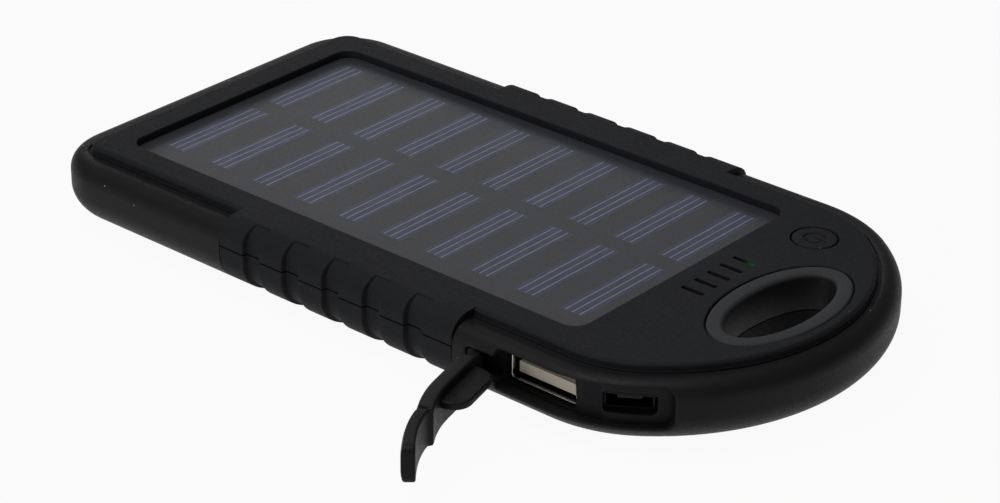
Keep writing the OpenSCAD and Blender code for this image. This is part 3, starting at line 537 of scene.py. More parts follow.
def stationRows(*rows):  # rows stacked: each is one value, a value for each station, or a block of rows
    count = len(stationPoints)
    return np.vstack([np.broadcast_to(row, (len(row) if np.ndim(row) == 2 else 1, count)) for row in rows])


def carried(rim, rimHigh, rib, ribHigh):  # rows of offset and height carried round the outline
    offsets, heights = np.where(stationRibbed, rib, rim), np.where(stationRibbed, ribHigh, rimHigh)
    return np.dstack([stationPoints + offsets[:, :, None] * stationOut, heights])


# Ports that open through the near side of the round end

usbLow, usbHigh = nodeBox("usb_a_shell")
portForm = {"usbRoom": 0.35, "usbPast": 0.8, "microAngle": -55.0, "microZ": 7.3, "microSpan": 7.0,
            "microHalf": 1.6}
tipBearing = bearings(stationPoints - tipCentre)
onTip = np.abs(lengths(stationPoints - tipCentre) - tipR) < samePlace
atUsb = ((stationPoints[:, 0] > usbLow[0] - portForm["usbRoom"])
         & (stationPoints[:, 0] < usbHigh[0] + portForm["usbPast"])
         & (stationPoints[:, 1] < 0) & ~stationRibbed)
atMicro = (np.abs(tipBearing - portForm["microAngle"]) < portForm["microSpan"]) & ~stationRibbed


def portEdge(usbZ, way):  # a shell's edge: the parting line, led over the ports (way 1) or under them (way -1)
    return np.select([atUsb, atMicro], [usbZ + way * portForm["usbRoom"],
                                        portForm["microZ"] + way * portForm["microHalf"]], bodyForm["partZ"])


# Upper shell: flat face with its holes, rounded rim behind the bumpers, grip ribs between them

ringLow, ringHigh = nodeBox("carabiner_ring")
ringCentre, ringSemi = (ringLow + ringHigh)[:2] / 2, (ringHigh - ringLow)[:2] / 2
buttonLow, buttonHigh = nodeBox("power_button")
buttonCentre = (buttonLow + buttonHigh)[:2] / 2
coverLow, coverHigh = nodeBox("panel_cover")
faceForm = {
    "windowLap": 1.5, "windowR": 3.0, "windowFillet": 0.25, "ringGap": 0.2, "ringFillet": 0.25,
    "buttonR": 3.7, "buttonGap": 0.28, "buttonFillet": 0.15,
    "slotX": 43.8, "slotLong": 4.2, "slotWide": 0.9, "slotFirst": -5.36, "slotPitch": 3.33, "slots": 5,
    "slotR": 0.25, "slotFillet": 0.12,
}
slotY = faceForm["slotFirst"] + faceForm["slotPitch"] * np.arange(faceForm["slots"])


def faceHoles():  # every hole of the face with the radius of its edge
    lap, buttonR = faceForm["windowLap"], faceForm["buttonR"] + faceForm["buttonGap"]
    window = rectLoop(coverLow[:2] + lap, coverHigh[:2] - lap, faceForm["windowR"], 14)
    holes = [(window, faceForm["windowFillet"]),
             (ellipseLoop(ringCentre, ringSemi + faceForm["ringGap"], 120), faceForm["ringFillet"]),
             (ellipseLoop(buttonCentre, np.full(2, buttonR), 72), faceForm["buttonFillet"])]
    half = np.array([faceForm["slotLong"], faceForm["slotWide"]]) / 2
    for y in slotY:
        middle = np.array([faceForm["slotX"], y])
        holes.append((rectLoop(middle - half, middle + half, faceForm["slotR"], 5), faceForm["slotFillet"]))
    return holes


def upperShell():
    # rows from the face's edge outwards over an elliptical rim, down the side, under the wall and back up inside;
    # a ribbed station swaps the rim for the rib's quarter ellipse, drawn in by the valley's depth
    edge, deep, wall, step, inner, plate, top = pick(
        bodyForm, "rimEdge rimDeep bumperWall stepZ innerWall plateZ topZ")
    wide = bodyForm["rimWide"] - bodyForm["tipNarrow"] * np.clip(stationOut[:, 0], 0, None)
    depth = bodyForm["valleyDepth"] * stationValley
    angle = np.radians(np.linspace(90, 0, 26))[:, None]
    rimO, rimZ = onEllipse((edge - wide, top - deep, wide, deep), angle)
    ribO, ribZ = onEllipse(bodyForm["ribTop"], angle)
    ribO = ribO - depth * valleyEnd(angle, bodyForm["valleyHigh"])
    part, above = bodyForm["ribPartZ"] + bodyForm["partGap"], portEdge(usbHigh[2], 1)
    skin = carried(stationRows(rimO, edge, wall, wall, inner, inner) + bumperPush(stationOut),
                   stationRows(rimZ, step, step, above, above, plate),
                   stationRows(ribO, -depth, -depth, -depth - bodyForm["partLedge"], inner, inner),
                   stationRows(ribZ, part + bodyForm["partRise"], part, part, part, plate))
    holes = faceHoles()
    patches = [gridPatch(skin, wrapColumns=True),
               fillPatch(skin[0, :, :2], [loop[0] + fillet * loop[1] for loop, fillet in holes], flatAt(top)),
               fillPatch(skin[-1, :, :2], [loop[0] for loop, _ in holes], flatAt(plate))]
    patches += [rimPatch(loop, fillet, top, plate) for loop, fillet in holes]
    makePiece("upperShell", patches, softTouch, ["upper_shell"], weighted=True)


upperShell()


# Lower shell: shallow bowl below, with the eye's tube and four screw pockets

screwLow, screwHigh = nodeBox("case_screws")
baseForm = {
    "screwSpots": ((-62.8, 29.3), (-62.8, -29.3), (59.133, 19.516), (59.133, -19.516)),
    "pocketR": 1.75, "pocketDeep": 1.5, "cornerWindow": 44.9, "tipWindow": 7.0, "pocketClear": 0.3,  # degrees
    "rows": 18, "chamfer": 0.8,
    "eyeFillet": 0.6, "eyeSector": 26.6, "eyeRows": 6, "eyeClear": 0.25, "tubeWall": 2.8,
}


def pocketWindows(pockets, cut):
    # round each screw a window of the curved underside is marked in cut, and filled again round its pocket;
    # the window is worked in bearing about the local arc's centre and angle on the bottom ellipse
    r = bodyForm["cornerR"]
    angles = np.linspace(-90, bottomAngle, baseForm["rows"])[:-2]
    patches = []
    for spot, pocket in zip(np.array(baseForm["screwSpots"]), pockets):
        centre, radius, span = tipCentre, tipR, baseForm["tipWindow"]
        if spot[0] < 0:
            centre = np.array([r - halfLen, np.sign(spot[1]) * (halfWid - r)])
            radius, span = r, baseForm["cornerWindow"]
        way = stationPoints - centre
        bearing = bearings(way)
        beside = np.abs(bearing - bearings(spot - centre)) < span
        onArc = np.abs(lengths(way) - radius) < samePlace
        inside = np.flatnonzero(onArc & beside & ~stationRibbed)
        cut[:len(angles) - 1, inside[:-1]] = True
        way = pocket - centre
        tilt = -np.degrees(np.arccos((lengths(way) - radius - bottomForm[0]) / bottomForm[2]))
        hole = np.column_stack([bearings(way), tilt])

        def place(p, centre=centre, radius=radius):
            offset, height = onEllipse(bottomForm, np.radians(p[:, 1]))
            heading = np.radians(p[:, :1])
            out = np.hstack([np.cos(heading), np.sin(heading)])
            return np.column_stack([centre + (radius + offset)[:, None] * out, height])
        grid = clearOf(crossings(bearing[inside][1:-1], angles[1:-1]), hole, baseForm["pocketClear"])
        patches.append(fillPatch(frameLoop(bearing[inside], angles), [hole], place, grid))
        rim = place(hole)
        foot = flatAt(baseForm["pocketDeep"])(rim[:, :2])
        patches.append(gridPatch(np.stack([rim, foot]), wrapColumns=True))
    return patches


def bottomHeight(plan):  # the underside: level, and rising on the bottom ellipse towards the tip
    offset = lengths(plan - tipCentre) - tipR
    share = np.where(plan[..., 0] > tipX, np.clip((offset - bottomForm[0]) / bottomForm[2], 0, 1), 0.0)
    return bottomForm[1] * (1 - np.sqrt(1 - share ** 2))


def eyeWindow(plan, hole, cut):
    # the eye's mouth reaches past the level base, so a window of the curved rim is marked in cut and filled
    # together with the base: returns the base's outline led round that window, and the points inside the window
    rows = baseForm["eyeRows"]
    window = np.flatnonzero(onTip & (np.abs(tipBearing) < baseForm["eyeSector"]))
    first, last = window[0], window[-1]
    cut[:rows, first:last] = True
    outline = np.vstack([plan[0, :first], plan[:rows + 1, first], plan[rows, first + 1:last],
                         plan[rows::-1, last], plan[0, last + 1:]])
    return outline, clearOf(plan[:rows, first + 1:last].reshape(-1, 2), hole, baseForm["eyeClear"])


def lowerShell():
    # rows from the level base outwards round the bottom ellipse, over the wall's edge and back down inside
    wall, inner, base, split = pick(bodyForm, "bumperWall innerWall baseZ partZ")
    rows, chamfer, fillet = pick(baseForm, "rows chamfer eyeFillet")
    depth = bodyForm["valleyDepth"] * stationValley
    rimO, rimZ = onEllipse(bottomForm, np.radians(np.linspace(-90, bottomAngle, rows))[:, None])
    angle = np.radians(np.linspace(-90, 0, rows))[:, None]
    ribO, ribZ = onEllipse(bottomForm, angle)
    ribO = ribO - depth * valleyEnd(-angle, bodyForm["valleyLow"])
    part, under = bodyForm["ribPartZ"] - bodyForm["partGap"], portEdge(usbLow[2], -1)
    skin = carried(stationRows(rimO, wall, wall - bodyForm["wallLedge"], inner, inner, inner - chamfer),
                   stationRows(rimZ, under, under, under, base + chamfer, base),
                   stationRows(ribO, -depth, -depth - bodyForm["partLedge"], inner, inner, inner - chamfer),
                   stationRows(ribZ, part, part, part, base + chamfer, base))
    bore, boreOut = ellipseLoop(ringCentre, ringSemi - baseForm["tubeWall"], 120)
    tube = ellipseLoop(ringCentre, ringSemi, 120)[0]
    mouth = bore + fillet * boreOut
    away, rise = quarter(fillet, 7)
    boreRows = np.dstack([bore + away[:, None, None] * boreOut, rise[:, None] + bottomHeight(mouth)])
    tubes = [np.vstack([boreRows, flatAt(split)(bore)[None]]),
             np.stack([flatAt(split)(loop) for loop in (bore, tube)]),
             np.stack([flatAt(z)(tube) for z in (split, base)])]
    pockets = [ellipseLoop(spot, np.full(2, baseForm["pocketR"]), 40)[0] for spot in baseForm["screwSpots"]]
    cut = np.zeros((len(skin) - 1, len(stationPoints)), bool)
    windows = pocketWindows(pockets, cut)
    outline, inside = eyeWindow(skin[..., :2], mouth, cut)
    points, quads = gridPatch(skin, wrapColumns=True)
    patches = [(points, quads[~cut.ravel()]), *windows,
               fillPatch(outline, [mouth], lambda p: np.column_stack([p, bottomHeight(p)]), inside),
               fillPatch(skin[-1, :, :2], [tube], flatAt(base))]
    patches += [gridPatch(grid, wrapColumns=True) for grid in tubes]
    patches += [fillPatch(pocket, [], flatAt(baseForm["pocketDeep"])) for pocket in pockets]
    makePiece("lowerShell", patches, softTouch, ["lower_shell"], weighted=True)


lowerShell()


# Silicone bumpers: one skin carried round each end, with the port recess in the round one

skinScale = 6.0  # mm of skin in one step of the profile's parameter
sidePart = 0.3  # the straight side's share of the profile's parameter
skinStep, skinClear = 0.9, 0.3  # mm between its points, and mm kept free of them beside an opening


def alongPath(path, s):  # plan point and outward direction at arc lengths s
    points, out = path
    length = np.concatenate([[0], np.cumsum(lengths(np.diff(points, axis=0)))])
    spot, way = (np.stack([np.interp(s, length, row[:, k]) for k in (0, 1)], -1) for row in (points, out))
    return spot, unit(way)


def startAngle(way):  # where on the top ellipse the bumper begins, beside the face's rim
    lip = bodyForm["bumperLip"] + bodyForm["lipRoom"] + bumperPush(way)
    return np.arccos(np.clip((lip - topForm[0]) / topForm[2], 0, 1))


def bumperSkin(path, s, v, deep=0.0):
    # v runs 0 to 1 over the top ellipse, to 1.3 down the straight side, to 2.3 round the bottom ellipse
    spot, way = alongPath(path, s)
    topO, topZ = onEllipse(topForm, startAngle(way) * (1 - np.clip(v, 0, 1)))
    lowO, lowZ = onEllipse(bottomForm, math.radians(bottomAngle) * np.clip(v - 1 - sidePart, 0, 1))
    sideZ = topForm[1] + (bottomForm[1] - topForm[1]) * np.clip((v - 1) / sidePart, 0, 1)
    parts = [v <= 1, v >= 1 + sidePart]
    offset, height = np.select(parts, [topO, lowO], 0.0), np.select(parts, [topZ, lowZ], sideZ)
    return np.concatenate([spot + (offset - deep)[..., None] * way, height[..., None]], -1)


def skinParameter(path, s, z):  # the profile's parameter at a height on the side
    way = alongPath(path, s)[1]
    high = np.arcsin(np.clip((z - topForm[1]) / topForm[3], 0, 1))
    low = np.arcsin(np.clip((bottomForm[1] - z) / bottomForm[3], 0, 1))
    v = 1 + sidePart * np.clip((topForm[1] - z) / (topForm[1] - bottomForm[1]), 0, 1)
    v = np.where(z > topForm[1], 1 - high / startAngle(way), v)
    return np.where(z < bottomForm[1], 1 + sidePart + low / math.radians(-bottomAngle), v)


def sideOffset(z):  # the side's own offset at a height
    high, low = (form[0] + form[2] * np.sqrt(np.clip(1 - ((z - form[1]) / form[3]) ** 2, 0, 1))
                 for form in (topForm, bottomForm))
    return np.where(z > topForm[1], high, np.where(z < bottomForm[1], low, 0.0))


def bumperInner(path, s, z):  # the wall face behind, pushed out with the face above the parting line
    spot, way = alongPath(path, s)
    half = bodyForm["pushHalf"]
    push = bumperPush(way) * smooth((z - bodyForm["partZ"] + half) / (2 * half))
    return np.concatenate([spot + (bodyForm["bumperWall"] + push)[..., None] * way, z[..., None]], -1)


def lipRow(path, s, z):  # the bumper's edge beside the face
    spot, way = alongPath(path, s)
    plan = spot + (bodyForm["bumperLip"] + bumperPush(way))[:, None] * way
    return np.column_stack([plan, np.broadcast_to(z, len(s))])


def lipRows(path, s):  # the skin's first row, the lip's top and the lip's foot
    first = bumperSkin(path, s, np.zeros(len(s)))
    return first, lipRow(path, s, first[:, 2] - bodyForm["lipDrop"]), lipRow(path, s, bodyForm["stepZ"])


def bumperPatches(path, opening=None):
    split, half, step, fillet = pick(bodyForm, "partZ pushHalf stepZ openingFillet")
    total = lengths(np.diff(path[0], axis=0)).sum()
    s = np.linspace(0, total, int(total / skinStep))
    v = skinScale * np.concatenate([np.linspace(0, 1, 15), np.linspace(1, 1 + sidePart, 4)[1:-1],
                                    np.linspace(1 + sidePart, 2 + sidePart, 16)])
    bottomZ = onEllipse(bottomForm, math.radians(bottomAngle))[1]
    z = np.concatenate([np.linspace(bottomZ, split - half, 6), np.linspace(split + half, step, 6)])
    outside, inside, patches = [], [], []
    skinGrid, wallGrid = crossings(s[1:-1], v[1:-1]), crossings(s[1:-1], z[1:-1])
    if opening:
        loop, out = opening
        away, drop = quarter(fillet, 6)
        spread = loop + away[:, None, None] * out
        parameter = skinParameter(path, spread[..., 0], spread[..., 1])
        edge = bumperSkin(path, spread[..., 0], parameter, np.broadcast_to(drop[:, None], parameter.shape))
        wall = bumperInner(path, loop[:, 0], loop[:, 1])
        patches.append(gridPatch(np.concatenate([edge, wall[None]]), wrapColumns=True))
        outside, inside = [np.column_stack([spread[0, :, 0], parameter[0] * skinScale])], [loop]
        skinGrid, wallGrid = clearOf(skinGrid, outside[0], skinClear), clearOf(wallGrid, loop, skinClear)
    patches += [
        fillPatch(frameLoop(s, v), outside, lambda p: bumperSkin(path, p[:, 0], p[:, 1] / skinScale), skinGrid),
        fillPatch(frameLoop(s, z), inside, lambda p: bumperInner(path, p[:, 0], p[:, 1]), wallGrid),
        gridPatch(np.stack([*lipRows(path, s), bumperInner(path, s, np.full(len(s), step))]))]
    for end in (s[:1], s[-1:]):  # flat faces beside the ribs
        _, lipTop, lipFoot = lipRows(path, end)
        ring = np.vstack([bumperSkin(path, np.repeat(end, len(v)), v / skinScale),
                          bumperInner(path, np.repeat(end, len(z)), z)[1:], lipFoot, lipTop])
        patches.append(fillPatch(ring[:, 1:], [],
                                 lambda p, x=ring[0, 0]: np.column_stack([np.full(len(p), x), p])))
    return patches


recessForm = {
    "leftX": 30.55, "low": 4.3, "high": 11.2, "leftR": 0.6, "rightR": 1.7, "endAngle": 45.5, "endRoom": 0.35,
    "neckX": 25.1, "neckLow": 6.1, "neckHigh": 9.9, "neckR": 0.6, "stepR": 0.7, "foldAngle": 20.5,
    "saddleX": 45.1, "saddleR": 0.3, "saddleFloor": -3.1, "pocketFloor": -2.5, "floorThin": 0.02,
    "riseFrom": 0.4, "riseLong": 0.9, "slotHalf": (4.6, 1.75), "slotZ": 7.6, "slotR": 0.8, "slotFillet": 0.25,
    "edgeStep": 0.7, "slotStep": 0.6, "slotClear": 0.3, "pointClear": 0.2,
    "gridStep": 0.8, "gridFrom": (0.8, 0.5), "gridTo": 0.3, "cornerCount": 9,
}
roundPath = roundEnd(ribEnd + bodyForm["seam"])
roundStartX = roundPath[0][0, 0]
shoulderLength = shoulderX - roundStartX
foldLength = shoulderLength + shoulderR * math.radians(recessForm["foldAngle"])


def pathAt(bearing):  # arc length on the round end at a bearing from the tip's centre, past the shoulder
    return shoulderLength + shoulderR * math.radians(90 - tipAngle) + tipR * math.radians(tipAngle - bearing)


recessEnd = pathAt(recessForm["endAngle"]) + recessForm["endRoom"]


def recessOutline():
    # counter-clockwise in arc length and height: the tall recess, then the neck's slot on its left
    left, slot = recessForm["leftX"] - roundStartX, recessForm["neckX"] - roundStartX
    low, high, a, b, leftR, rightR, count = pick(
        recessForm, "neckLow neckHigh neckR stepR leftR rightR cornerCount")
    points, out = rectLoop((left, recessForm["low"]), (recessEnd, recessForm["high"]),
                           [rightR, leftR, leftR, rightR], count)
    stepHigh, stepLow = bend((left - b, high + b), b, 0, -90, 7), bend((left - b, low - b), b, 90, 0, 7)
    slotHigh, slotLow = bend((slot + a, high - a), a, 90, 180, 7), bend((slot + a, low + a), a, 180, 270, 7)
    half = 2 * count
    points = np.vstack([points[:half], stepHigh[0], slotHigh[0], slotLow[0], stepLow[0], points[half:]])
    out = np.vstack([out[:half], -stepHigh[1], slotHigh[1], slotLow[1], -stepLow[1], out[half:]])
    apart = lengths(points - np.roll(points, 1, 0)) > samePlace
    return points[apart], out[apart]


def pocketPatches():
    # silicone floor from the large port to the recess's end, with a slot for the small port:
    # a slab whose face lies deeper up to the fold and rises past it, under the thinner end of the flap
    low, high, saddle, floor, r, saddleR = pick(recessForm, "low high saddleFloor pocketFloor rightR saddleR")
    edge = denseLoop(rectLoop((recessForm["saddleX"] - roundStartX, low), (recessEnd, high),
                              [r, saddleR, saddleR, r], recessForm["cornerCount"]), recessForm["edgeStep"])[0]
    middle = np.array([pathAt(-portForm["microAngle"]), recessForm["slotZ"]])
    half, fillet = np.array(recessForm["slotHalf"]), recessForm["slotFillet"]
    slot = rectLoop(middle - half, middle + half, recessForm["slotR"], 7)
    slot, slotOut = denseLoop(slot, recessForm["slotStep"])

    def placed(p, offset):
        spot, way = alongPath(roundPath, p[:, 0])
        return np.column_stack([spot + offset[:, None] * way, p[:, 1]])

    def face(p, drop=0.0):
        rise = smooth((p[:, 0] - foldLength - recessForm["riseFrom"]) / recessForm["riseLong"])
        return placed(p, saddle + (floor - saddle) * rise - drop)

    def under(p):
        return placed(p, np.full(len(p), bodyForm["bumperWall"] - recessForm["floorThin"]))
    first, last = edge.min(0) + recessForm["gridFrom"], edge.max(0) - recessForm["gridTo"]
    grid = crossings(*(np.arange(*span, recessForm["gridStep"]) for span in zip(first, last)))
    grid = clearOf(grid, slot + recessForm["slotClear"] * slotOut, recessForm["pointClear"])
    grid = grid[within(grid, edge)]
    rows = [face(slot + away * slotOut, drop) for away, drop in zip(*quarter(fillet, 5))]
    return [fillPatch(edge, [slot + fillet * slotOut], face, grid), fillPatch(edge, [slot], under, grid),
            gridPatch(np.stack([face(edge), under(edge)]), wrapColumns=True),
            gridPatch(np.stack(rows + [under(slot)]), wrapColumns=True)]


roundPatches = bumperPatches(roundPath, denseLoop(recessOutline(), skinStep)) + pocketPatches()
makePiece("squareBumper", bumperPatches(squareEnd(ribStart - bodyForm["seam"])), silicone,
          ["square_end_bumper"])
makePiece("roundBumper", roundPatches, silicone, ["round_end_bumper"])


# Port flap: a strip with the bumper's own section, a plug for the port, and a thinner end past the fold

flapLow, flapHigh = nodeBox("port_flap")
flapForm = {
    "hinge": (26.8, -36.3), "rootX": 31.0, "open": 75.0, "fold": 17.0, "foldAxis": (48.225, -34.931),
    "thick": 2.8, "tipThick": 2.2, "thinFrom": 0.15, "thinLong": 0.35, "endThin": 0.3, "middle": 1.2,
    "edgeR": 0.4, "endR": 1.3, "rootR": 0.5, "notchDeep": 1.6, "notchWide": 0.46, "notchAt": 0.1,
    "bendFrom": -1.2, "bendTo": 1.5, "fineFrom": -2.2, "fineTo": 2.4,
    "plugX": (31.5, 43.3), "plugZ": (8.14, 9.44), "plugY": (-35.3, -30.7),
    "plugR": (3.0, 3.0, 0.3, 0.3), "plugEdge": 0.3, "plugStep": 0.8,
}


def turned(points, pivot, degrees):  # points turned about a vertical axis
    angle = np.radians(np.broadcast_to(degrees, points.shape[:-1]))
    x, y = points[..., 0] - pivot[0], points[..., 1] - pivot[1]
    return np.stack([pivot[0] + x * np.cos(angle) - y * np.sin(angle),
                     pivot[1] + x * np.sin(angle) + y * np.cos(angle), points[..., 2]], -1)


def openFlap(points, s):  # from the closed flap to the open one: bent at the fold, then turned at the neck
    reach = flapForm["bendTo"] - flapForm["bendFrom"]
    share = smooth((s - foldLength - flapForm["bendFrom"]) / reach)
    bent = turned(points, flapForm["foldAxis"], -flapForm["fold"] * share)
    return turned(bent, flapForm["hinge"], -flapForm["open"])


def cornerIn(radius, past):  # how far a rounded corner draws an edge in, at a distance past its start
    return radius - np.sqrt(np.clip(radius ** 2 - np.clip(past, 0, None) ** 2, 0, None))


def stripGrid():
    # rows run round the section, columns along the side: outer face, then four rounded corners;
    # the corners of the ends draw both edges in, and the notch at the fold is a steep bell in the outer face
    thick, tipThick, r, endR, rootR = pick(flapForm, "thick tipThick edgeR endR rootR")
    start, end = flapForm["rootX"] - roundStartX, pathAt(recessForm["endAngle"])
    near = foldLength + np.linspace(flapForm["fineFrom"], flapForm["fineTo"], 36)
    s = np.unique(np.concatenate([
        start + quarter(rootR, 8)[1], np.linspace(start + rootR, near[0], 26), near,
        np.linspace(near[-1], end - endR, 12), end - quarter(endR, 12)[0]]))
    shrink = np.maximum(cornerIn(rootR, start + rootR - s), cornerIn(endR, s - end + endR))
    zLow, zHigh = flapLow[2] + shrink, flapHigh[2] - shrink
    past = s - foldLength
    thick = thick + (tipThick - thick) * smooth((past - flapForm["thinFrom"]) / flapForm["thinLong"])
    thin = flapForm["endThin"] * np.clip(shrink / endR, 0, 1) ** 3  # ends ease in a little from both faces
    cut = flapForm["notchDeep"] * np.exp(-((past - flapForm["notchAt"]) / flapForm["notchWide"]) ** 4) + thin
    z = zLow + r + (zHigh - zLow - 2 * r) * np.linspace(0, 1, 11)[:, None]
    rows = [(sideOffset(z) - cut, z)]
    for first, level in ((0, zHigh - r), (90, zHigh - r), (180, zLow + r), (270, zLow + r)):
        angle = np.radians(first + np.linspace(0, 90, 6))[1 if first == 0 else 0:, None]
        centre = r + thin - thick if first in (90, 180) else sideOffset(level) - r - cut
        rows.append((centre + r * np.cos(angle), level + r * np.sin(angle)))
    offsets, heights = (np.vstack(part)[:-1] for part in zip(*rows))
    spot, way = alongPath(roundPath, s)
    grid = np.dstack([spot + offsets[:, :, None] * way, heights])
    return openFlap(capped(grid), np.concatenate([s[:1], s, s[-1:]])[None])


def flapPatches():
    # the strip, and the plug as a flat tab: its plan loop at each height, drawn in where the edges round over
    (x0, x1), (y0, y1), (z0, z1) = pick(flapForm, "plugX plugY plugZ")
    plug, out = denseLoop(rectLoop((x0, y0), (x1, y1), flapForm["plugR"], 12), flapForm["plugStep"])
    away, drop = quarter(flapForm["plugEdge"], 6)
    tab = lifted(plug - np.append(away, drop)[:, None, None] * out, np.append(z0 + drop, z1 - away))
    patches = [gridPatch(tab, wrapColumns=True)]
    patches += [fillPatch(row[:, :2], [], flatAt(row[0, 2])) for row in tab[[0, -1]]]
    return [gridPatch(stripGrid(), wrapRows=True)] + [(openFlap(points, np.zeros(len(points))), faces)
                                                      for points, faces in patches]


def flapMiddle(s):  # a point on the open flap's middle line, in metres
    spot, way = alongPath(roundPath, np.array([s]))
    plan = spot[0] - flapForm["middle"] * way[0]
    point = openFlap(np.array([[*plan, (flapLow[2] + flapHigh[2]) / 2]]), np.array([s]))
    return tuple((point[0] * mm).tolist())


portFlap = makePiece("portFlap", flapPatches(), silicone, ["port_flap", "flap_tip"],
                     body=None)
flapMiddle(foldLength + flapForm["bendFrom"])
flapMiddle(foldLength + flapForm["bendTo"])
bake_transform(portFlap)

neckForm = {"fromX": 24.6, "toX": 31.6, "offset": -1.2, "thick": 1.5, "low": 6.4, "high": 9.6, "edgeR": 0.4,
            "curlHalf": 1.4, "softHalf": 1.3, "softZ": 7.75}


def neckPatches():
    # a rounded strap carried straight along the side, then curled round the hinge by a smooth turn
    x = np.linspace(neckForm["fromX"], neckForm["toX"], 30)
    half, curl = neckForm["thick"] / 2, neckForm["curlHalf"]
    loop = rectLoop((-half, neckForm["low"]), (half, neckForm["high"]), neckForm["edgeR"], 5)[0]
    y = -halfWid - neckForm["offset"] - loop[:, :1]
    grid = capped(np.stack(np.broadcast_arrays(x, y, loop[:, 1:]), -1))
    share = smooth((grid[..., 0] - flapForm["hinge"][0] + curl) / (2 * curl))
    return [gridPatch(turned(grid, flapForm["hinge"], -flapForm["open"] * share), wrapRows=True)]


flapNeck = makePiece("flapNeck", neckPatches(), silicone, body=None)
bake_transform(flapNeck)


# Eye ring: an elliptical band with rounded edges, carried round the eye

ringForm = {"wall": 2.8, "innerEdge": 0.7, "outerEdge": 0.45, "footEdge": 0.25}


def ringPatches():
    # q is the distance out from the inner ellipse; each row is an ellipse at its own q and height
    top, low, foot, wall = ringHigh[2], ringLow[2], ringForm["footEdge"], ringForm["wall"]
    away, drop = quarter(ringForm["innerEdge"], 7)
    outerAway, outerDrop = quarter(ringForm["outerEdge"], 7)
    q = np.concatenate([[foot, 0.0], drop, wall - outerAway, [wall]])
    z = np.concatenate([[low, low + foot], top - away, top - outerDrop, [low]])
    semi = ringSemi - wall + q[:, None]
    return [gridPatch(lifted(ringCentre + semi[:, None] * circle(160), z), wrapRows=True, wrapColumns=True)]


makePiece("eyeRing", ringPatches(), ringPlastic, ["carabiner_ring"], sharpAngle=50)


# Power button: a disc with a rounded edge and a mark sunk into it

buttonForm = {"radius": 3.7, "edge": 0.25, "markR": 1.72, "markHalf": 0.19, "markWall": 0.06, "markDeep": 0.22,
              "gapHalf": 32.0, "barFrom": 0.15, "barPast": 0.25, "lowZ": 12.0, "rings": 70}


def markShare(x, y):  # 1 in the sunk line: an open circle and a bar in its gap, towards +X
    r, gap, wall = pick(buttonForm, "markR gapHalf markWall")
    endX, endY = r * math.cos(math.radians(gap)), r * math.sin(math.radians(gap))
    arc = np.where(np.abs(np.degrees(np.arctan2(y, x))) > gap, np.abs(np.hypot(x, y) - r),
                   np.hypot(x - endX, np.abs(y) - endY))
    bar = np.hypot(x - np.clip(x, buttonForm["barFrom"], r + buttonForm["barPast"]), y)
    return smooth((buttonForm["markHalf"] + wall - np.minimum(arc, bar)) / (2 * wall))


def buttonPatches():
    # polar grid: height falls by the mark's depth, the last rings round over and drop to the foot
    edge, radius, rings, top = *pick(buttonForm, "edge radius rings"), buttonHigh[2]
    away, drop = quarter(edge, 6)
    r = np.concatenate([np.linspace(0, radius - edge, rings), radius - away[1:], [radius, 0.0]])
    fall = np.concatenate([np.zeros(rings), drop[1:], [top - buttonForm["lowZ"]] * 2])[:, None]
    plan = r[:, None, None] * circle(180)
    sunk = buttonForm["markDeep"] * markShare(plan[..., 0], plan[..., 1]) * (np.arange(len(r)) < rings)[:, None]
    return [gridPatch(np.dstack([plan + buttonCentre, top - fall - sunk]), wrapColumns=True)]


makePiece("powerButton", buttonPatches(), softTouch, ["power_button"], body="button",
          sharpAngle=60)


# Solar panel: resin face with twenty cell strips and their printed lines

panelForm = {
    "edgeR": 3.0, "rows": 10, "columns": ((-21.5, -0.8), (2.8, 23.5)), "pitch": 9.756, "shift": -0.4, "bow": 0.9,
    "bowLean": 0.75,  # under 1 the bow is fullest before the middle row
    "stripWide": 4.8, "stripRise": 0.012, "lineWide": 0.2, "lineRise": 0.02, "lineEdge": 0.01, "lineSpread": 1.41,
    "lineInset": 0.25,
}
cellLow = nodeBox("solar_cells")[0]


def slabs(x, y, low, high, edge):
    # many flat bars at once: each is a profile of six points over x at six stations over y, with its base closed
    def stations(span):
        first, last = span.T
        return np.stack([first, first, first + edge, last - edge, last, last], 1)
    rise = np.array([low, high - edge, high, high, high - edge, low])
    bars = np.broadcast_arrays(stations(x)[:, :, None], stations(y)[:, None], np.minimum.outer(rise, rise))
    bars = np.stack(bars, -1)
    return [gridPatch(bar) for bar in bars] + [gridPatch(bar * [1, 1, 0] + [0, 0, low]) for bar in bars]


def panelPieces():
    rows, rise, half = panelForm["rows"], panelForm["stripRise"], panelForm["lineWide"] / 2
    low, top = coverLow[2], coverHigh[2]
    loop = rectLoop(coverLow[:2], coverHigh[:2], panelForm["edgeR"], 8)[0]
    sides = np.stack([flatAt(z)(loop) for z in (low, top)])
    makePiece("panelFace", [gridPatch(sides, wrapColumns=True), fillPatch(loop, [], flatAt(top)),
                            fillPatch(loop, [], flatAt(low))], panelResin, ["panel_cover"])
    row = np.arange(rows)
    # laid by hand, so the middle rows stand off the even pitch by a bow
    bow = np.sin(np.pi * (row / (rows - 1)) ** panelForm["bowLean"])
    x = np.tile(cellLow[0] + panelForm["shift"] + panelForm["pitch"] * row + panelForm["bow"] * bow, 2)
    x = np.stack([x, x + panelForm["stripWide"]], 1)
    y = np.repeat(np.array(panelForm["columns"]), rows, 0)
    makePiece("cellStrips", slabs(x, y, low, top + rise, rise), siliconCell, ["solar_cells"])
    middle = x.mean(1)[:, None] + panelForm["lineSpread"] * np.array([-1, 0, 1])
    lineX = np.stack([middle - half, middle + half], -1).reshape(-1, 2)
    lineY = np.repeat(y + panelForm["lineInset"] * np.array([1, -1]), 3, 0)
    lines = slabs(lineX, lineY, top, top + rise + panelForm["lineRise"], panelForm["lineEdge"])
    makePiece("silverLines", lines, silverPaste)


panelPieces()


